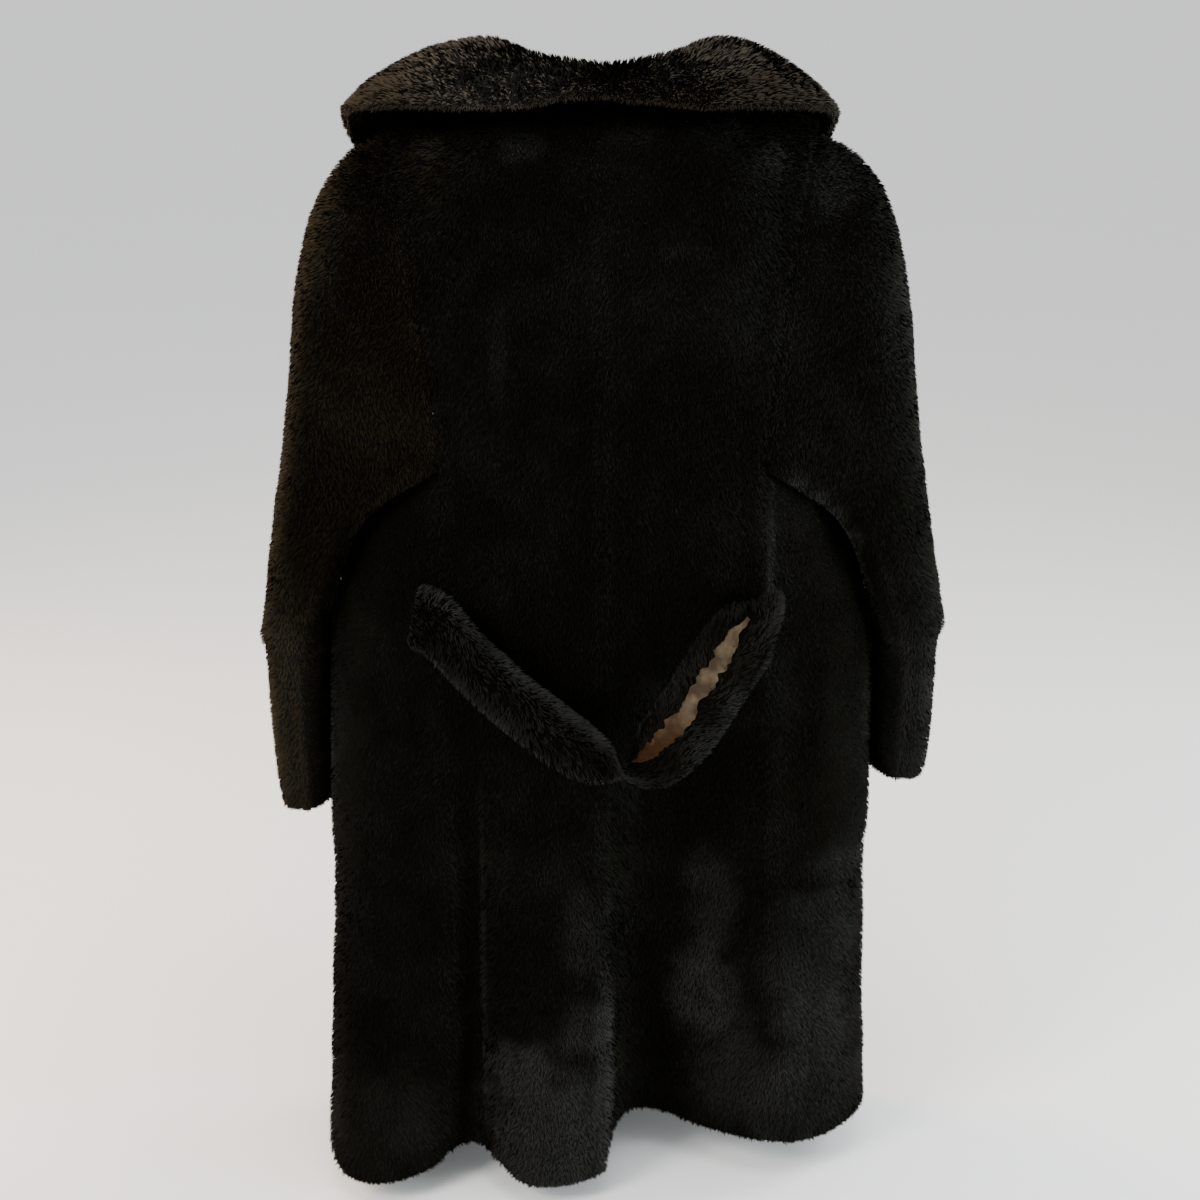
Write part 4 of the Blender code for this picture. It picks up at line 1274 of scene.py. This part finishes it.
@dataclass(frozen=True)
class BeltPath:
    """The sagging line of the belt, from the wearer's left to the right."""

    holds: tuple[Hold, ...] = (
        Hold(0.180, 0.1136, -0.469, 0),
        Hold(0.156, 0.127, -0.477, 0),
        Hold(0.127, 0.141, -0.505, 4),
        Hold(0.093, 0.151, -0.536, 8),
        Hold(0.059, 0.158, -0.562, 12),
        Hold(0.026, 0.164, -0.586, 20),
        Hold(-0.003, 0.170, -0.600, 44),
        Hold(-0.025, 0.173, -0.604, 84),
        Hold(-0.046, 0.173, -0.595, 122),
        Hold(-0.067, 0.170, -0.574, 144),
        Hold(-0.088, 0.166, -0.546, 152),
        Hold(-0.108, 0.160, -0.514, 150),
        Hold(-0.126, 0.154, -0.488, 134),
        Hold(-0.144, 0.1515, -0.464, 94),
        Hold(-0.161, 0.1424, -0.444, 50),
    )

    def frames(self, at: np.ndarray) -> tuple[Points, Points, Points, Points]:
        """The belt's directions at places counted in holds.

        Args:
            at: places from 0 at the left end.

        Returns:
            The middle line's points, the way along, across the strip, and out of its wool.
        """
        table = np.array([(h.x, h.y, h.z, h.turn) for h in self.holds])
        # a smooth cubic through the holds
        slopes = np.gradient(table, axis=0)
        cell = np.clip(np.floor(at).astype(int), 0, len(table) - 2)
        t = (at - cell)[:, None]
        a, b, sa, sb = table[cell], table[cell + 1], slopes[cell], slopes[cell + 1]
        values = (1 + 2 * t) * (1 - t) ** 2 * a + t * (1 - t) ** 2 * sa
        values = values + t * t * (3 - 2 * t) * b + t * t * (t - 1) * sb
        middle, turn = values[:, :3], np.radians(values[:, 3])[:, None]
        along = unit(np.gradient(middle, axis=0))
        out = np.stack([middle[:, 0] * 0.9, np.full(len(at), 0.2), np.zeros(len(at))], axis=1)
        out = unit(square_to(out, along))
        up = np.cross(along, out)
        up = np.where(up[:, 2:] < 0, -up, up)
        wool_side = np.cos(turn) * out - np.sin(turn) * up
        across = np.sin(turn) * out + np.cos(turn) * up
        return middle, along, across, wool_side


def loft(name: str, rings: Points, closed: bool) -> Object:
    """Joins rings of points into a surface.

    Args:
        name: the object's name.
        rings: rings of points, ring by ring.
        closed: whether each ring is closed and the ends are filled.

    Returns:
        The new object.
    """
    bm = bmesh.new()
    verts = [[bm.verts.new(p) for p in ring] for ring in rings.tolist()]
    size = len(verts[0])
    for low, high in zip(verts, verts[1:]):
        for j in range(size if closed else size - 1):
            k = (j + 1) % size
            bm.faces.new([low[j], low[k], high[k], high[j]])
    if closed:
        bm.faces.new(verts[0][::-1])
        bm.faces.new(verts[-1])
        bmesh.ops.recalc_face_normals(bm, faces=bm.faces)
    mesh = bpy.data.meshes.new(name)
    bm.to_mesh(mesh)
    bm.free()
    return link_object(name, mesh)


@dataclass
class Belt:
    """The wool half belt, sewn in at its ends, and the lining on its inner face."""

    wool: Wool
    underwool: Underwool
    path: BeltPath = BeltPath()
    half_width: float = 0.0300
    half_thick: float = 0.0032
    roundness: float = 0.7
    lining_half: float = 0.0071
    lining_shift: float = -0.0060
    shows_from: float = 7.2
    shows_to: float = 12.95
    inner_from: float = -0.35
    tuft_count: int = 25000
    short: float = 0.72
    pile: Pile = Pile(length=0.0085, lift=48, clump=0.35, even_painted_sheen=0.03, seed=31)

    def build(self) -> None:
        strip = self.strip()
        wool = self.tufts()
        lining = self.lining()
        for piece, node in ((strip, "belt"), (wool, "belt"), (lining, "belt_lining")):
            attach(piece, "root")
        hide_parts("belt")
        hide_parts("belt_lining")
        faces = (len(strip.data.polygons), len(wool.data.polygons))
        log.info("belt: strip %d faces, wool %d faces", *faces)

    def strip(self) -> Object:
        """Makes the belt's skin as a closed, round-edged strip.

        Returns:
            The strip.
        """
        at = np.linspace(0, len(self.path.holds) - 1, 140)
        middle, _, across, out = self.path.frames(at)
        around = np.linspace(0, 2 * math.pi, 24, endpoint=False)
        cos, sin = np.cos(around), np.sin(around)
        u = self.half_width * np.sign(cos) * np.abs(cos) ** self.roundness
        v = self.half_thick * np.sign(sin) * np.abs(sin) ** self.roundness
        waver = 1 + 0.05 * np.sin(at * 2.3) + 0.03 * np.sin(at * 5.1 + 1)
        rings = middle[:, None] + across[:, None] * (u[None, :] * waver[:, None])[:, :, None]
        rings = rings + out[:, None] * v[None, :, None]
        strip = loft("belt_skin", rings, closed=True)
        strip.data.materials.append(self.underwool.material())
        soften(strip)
        return strip

    def tufts(self) -> Object:
        """Covers the belt's wool side and edges, and leaves the lining bare.

        Returns:
            The wool.
        """
        rng = np.random.default_rng(self.pile.seed)
        # sorted, so that each place's directions come from its neighbours on the line
        at = rng.uniform(0, len(self.path.holds) - 1, self.tuft_count)
        at.sort()
        frames = self.path.frames(at)
        around = rng.uniform(0, 2 * math.pi, self.tuft_count)
        cos, sin = np.cos(around), np.sin(around)
        flat = np.abs(cos) ** self.roundness * np.sign(cos)
        beside = (sin < self.inner_from) & (at > self.shows_from - 0.3) & (at < self.shows_to + 0.2)
        edge = np.stack([at, np.sign(cos), 0 * at], axis=1)
        ragged = self.lining_half * clouds(edge, WOOL_EDGE, 0.80)
        keep = ~(beside & (np.abs(flat * self.half_width - self.lining_shift) < ragged))
        middle, along, across, out = (rows[keep] for rows in frames)
        cos, sin, flat, beside = (rows[keep] for rows in (cos, sin, flat, beside))
        height = np.sign(sin) * np.abs(sin) ** self.roundness * self.half_thick
        place = middle + across * (flat * self.half_width)[:, None]
        place = place + out * height[:, None]
        face_out = unit(across * (cos * np.abs(cos) ** 1.5)[:, None] + out * (sin * 1.2)[:, None])
        way = along * 0.8 + across * (0.5 * flat)[:, None]
        way = swing(unit(square_to(way, face_out)), face_out, 38 * cloud(place, 26.0, 9.0))
        scale = np.where(beside, self.short, 1.0)
        # painted light: the left arm is painted paler with sheen than the right one, and both get
        # painted highlights at their edges
        base = np.where(place[:, 0] > 0, 0.26, 0.09)
        nap_and_painted_sheen = np.clip(base + 0.20 * cloud(place, 30.0, 3.0) + 0.26 * np.abs(flat) ** 3, 0, 1)
        lift = np.where(beside, 0.5 * self.pile.lift, self.pile.lift)
        wool = tuft_mesh("belt_wool", Roots(place, face_out, way, scale, nap_and_painted_sheen, lift), self.pile)
        wool.data.materials.append(self.wool.material())
        return wool

    def lining(self) -> Object:
        """Makes the lining where the belt's right arm shows it: thin, rucked and ragged.

        Returns:
            The lining.
        """
        at = np.linspace(self.shows_from, self.shows_to, 110)
        middle, _, across, out = self.path.frames(at)
        share = np.linspace(-1, 1, 15)
        row = np.stack([at, 0 * at, 0 * at], axis=1)
        half = self.lining_half * clouds(row, LINING_EDGE, 1.15)
        taper = 0.75 * ease((at - self.shows_from) / 0.9) * ease((self.shows_to - at) / 1.2)
        half = half * (0.25 + taper)
        centre = self.lining_shift + 0.0026 * cloud(row, 1.9, 6.0)
        spread = centre[:, None] + half[:, None] * share[None, :]
        rings = middle[:, None] + across[:, None] * spread[:, :, None]
        lift = 0.0011 + 0.0006 * np.cos(share * math.pi / 2)[None, :]
        flat = rings.reshape(-1, 3)
        height = self.half_thick + lift + clouds(flat, RUCKS).reshape(rings.shape[:2])
        rings = rings - out[:, None] * height[:, :, None]
        lining = loft("belt_lining_cloth", rings, closed=False)
        apply_modifier(lining, "SOLIDIFY", thickness=0.0006, offset=0.0)
        lining.data.materials.append(TanLining().material())
        soften(lining)
        return lining


# --- The coat ---


@dataclass
class Coat:
    """The whole coat: its panels, sleeves, lower sleeve pieces, collar and belt."""

    underwool: Underwool = Underwool(
        "underwool", (0.0009, 0.0008, 0.0003), (0.0017, 0.0015, 0.0007), (0.009, 0.009, 0.008)
    )
    panel_wool: Wool = Wool(
        "panel_wool", (0.0014, 0.0012, 0.0003), (0.0021, 0.0019, 0.0006), (0.0215, 0.0215, 0.0190)
    )
    # a copy of the panel wool painted brighter and browner for the left sleeve and cuff: painted
    # orange rim light from the left
    warm_lit_wool: Wool = Wool(
        "warm_lit_wool", (0.0026, 0.0018, 0.0006), (0.0042, 0.0028, 0.0011), (0.0290, 0.0220, 0.0125)
    )
    collar_wool: Wool = Wool(
        "collar_wool", (0.0105, 0.0082, 0.0050), (0.0185, 0.0144, 0.0092), (0.0620, 0.0515, 0.0390)
    )
    skirt_hem: float = -1.02
    skirt_groove: tuple[float, float] = (-0.09, -0.74)

    def build(self) -> None:
        """Builds every piece in the order in which a maker would join them."""
        for pelt in self.pelts():
            pelt.build()
        Belt(self.panel_wool, self.underwool).build()

    def pelts(self) -> list[Pelt]:
        """The cut pieces of the coat with their sizes and folds.

        Returns:
            The pieces.
        """
        body = Pile(density=215000.0)
        front = Pile(density=130000.0, seed=11)
        arm = Pile(density=210000.0, even_painted_sheen=0.04, seed=17)
        neck = Pile(
            density=250000.0, length=0.0066, lift=46.0, clump=0.34, wander=50.0, height=0.0046,
            even_painted_sheen=0.12, seed=23,
        )
        panel, warm_lit, under = self.panel_wool, self.warm_lit_wool, self.underwool
        return [
            Pelt(
                "back_left", panel, under, (0.22, 1.10), 0.193, pile=body, folds=BACK_FOLDS,
                free_below=self.skirt_hem,
            ),
            Pelt(
                "back_right", panel, under, (0.25, 1.10), 0.209, pile=body, folds=BACK_FOLDS,
                groove=self.skirt_groove, free_below=self.skirt_hem,
            ),
            Pelt(
                "front_left", panel, under, (0.55, 1.10), 0.437, pile=front, folds=FRONT_FOLDS,
                free_below=self.skirt_hem, free_front=True,
            ),
            Pelt(
                "front_right", panel, under, (0.50, 1.10), 0.402, pile=front, folds=FRONT_FOLDS,
                joints=(-0.772,), groove=self.skirt_groove, free_below=self.skirt_hem,
                free_front=True,
            ),
            Pelt(
                "sleeve_left", warm_lit, under, (0.44, 0.50), 0.201, pile=arm, folds=SLEEVE_FOLDS
            ),
            Pelt(
                "sleeve_right", panel, under, (0.44, 0.49), 0.197, pile=arm, folds=SLEEVE_FOLDS
            ),
            Pelt(
                "cuff_left", warm_lit, under, (0.30, 0.18), 0.052, pile=arm, folds=CUFF_FOLDS,
                free_below=-0.69,
            ),
            Pelt(
                "cuff_right", panel, under, (0.30, 0.16), 0.047, pile=arm, folds=CUFF_FOLDS,
                free_below=-0.655,
            ),
            Pelt(
                "collar", self.collar_wool, under, (0.21, 0.95), 0.180, held="folded",
                wall=COLLAR_WALL, nap=Nap.OFF_THE_NECK, pile=neck, folds=COLLAR_FOLDS,
                skin=0.0055, turned=0.024,
            ),
        ]


# --- Studio ---


@dataclass(frozen=True)
class SoftLight:
    """A square soft light that faces a point."""

    name: str
    place: Place
    target: Place
    size: float
    power: float
    colour: Colour = (1.0, 1.0, 1.0)

    def build(self) -> None:
        """Adds the light."""
        data = bpy.data.lights.new(self.name, "AREA")
        data.size = self.size
        data.energy = self.power
        data.color = self.colour
        light = bpy.data.objects.new(self.name, data)
        light.location = self.place
        way = Vector(self.target) - Vector(self.place)
        light.rotation_euler = way.to_track_quat("-Z", "Y").to_euler()
        bpy.context.scene.collection.objects.link(light)


@dataclass
class Studio:
    """The camera at the photograph's angle, soft lights, and a pale floor."""

    camera_place: Place = (0.0, 2.1039, 0.1432)
    camera_tilt: float = 17.0
    lens: float = 65.58
    sensor: float = 36.0
    shift: tuple[float, float] = (-0.0017, 0.0092)
    floor_z: float = -1.096
    floor_size: float = 120.0
    air: Colour = (0.93, 0.94, 0.95)
    air_strength: float = 1.2
    lights: tuple[SoftLight, ...] = (
        SoftLight("key", (1.9, 2.1, 1.2), (0.0, 0.0, -0.45), 1.0, 95.0, (1.0, 0.96, 0.90)),
        SoftLight("window", (-2.3, 1.2, -0.45), (0.0, 0.0, -0.75), 1.0, 85.0, (0.88, 0.94, 1.0)),
        SoftLight("rim_left", (2.0, -0.9, 0.3), (0.1, 0.0, -0.4), 1.0, 60.0, (1.0, 0.66, 0.36)),
        SoftLight("rim_right", (-2.0, -0.9, 0.4), (-0.1, 0.0, -0.5), 1.0, 40.0, (0.94, 0.96, 1.0)),
        SoftLight("top", (0.0, 0.9, 2.0), (0.0, 0.0, 0.0), 1.4, 40.0),
    )

    def build(self) -> None:
        """Adds the camera, the lights, the air's light and the floor."""
        data = bpy.data.cameras.new("camera")
        data.lens = self.lens
        data.sensor_width = self.sensor
        data.shift_x, data.shift_y = self.shift
        camera = bpy.data.objects.new("camera", data)
        camera.location = self.camera_place
        camera.rotation_euler = (math.radians(90 - self.camera_tilt), 0.0, math.pi)
        bpy.context.scene.collection.objects.link(camera)
        bpy.context.scene.camera = camera
        for light in self.lights:
            light.build()
        world = bpy.data.worlds.new("air")
        world.use_nodes = True
        background = world.node_tree.nodes["Background"]
        background.inputs["Color"].default_value = (*self.air, 1.0)
        background.inputs["Strength"].default_value = self.air_strength
        bpy.context.scene.world = world
        bpy.ops.object.select_all(action="DESELECT")
        bpy.ops.mesh.primitive_plane_add(size=self.floor_size, location=(0, 0, 0))
        floor = bpy.context.active_object
        floor.name = "floor"
        put_back(floor.data, places(floor.data) + np.array([0.0, 0.0, self.floor_z]))
        floor.data.materials.append(PaleFloor().material())


def main() -> None:
    """Builds the studio and the coat, and reports each piece."""
    logging.basicConfig(level=logging.INFO, format="%(name)s: %(message)s")
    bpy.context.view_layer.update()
    Studio().build()
    Coat().build()
    log.info("built")


if __name__ == "__main__":
    main()
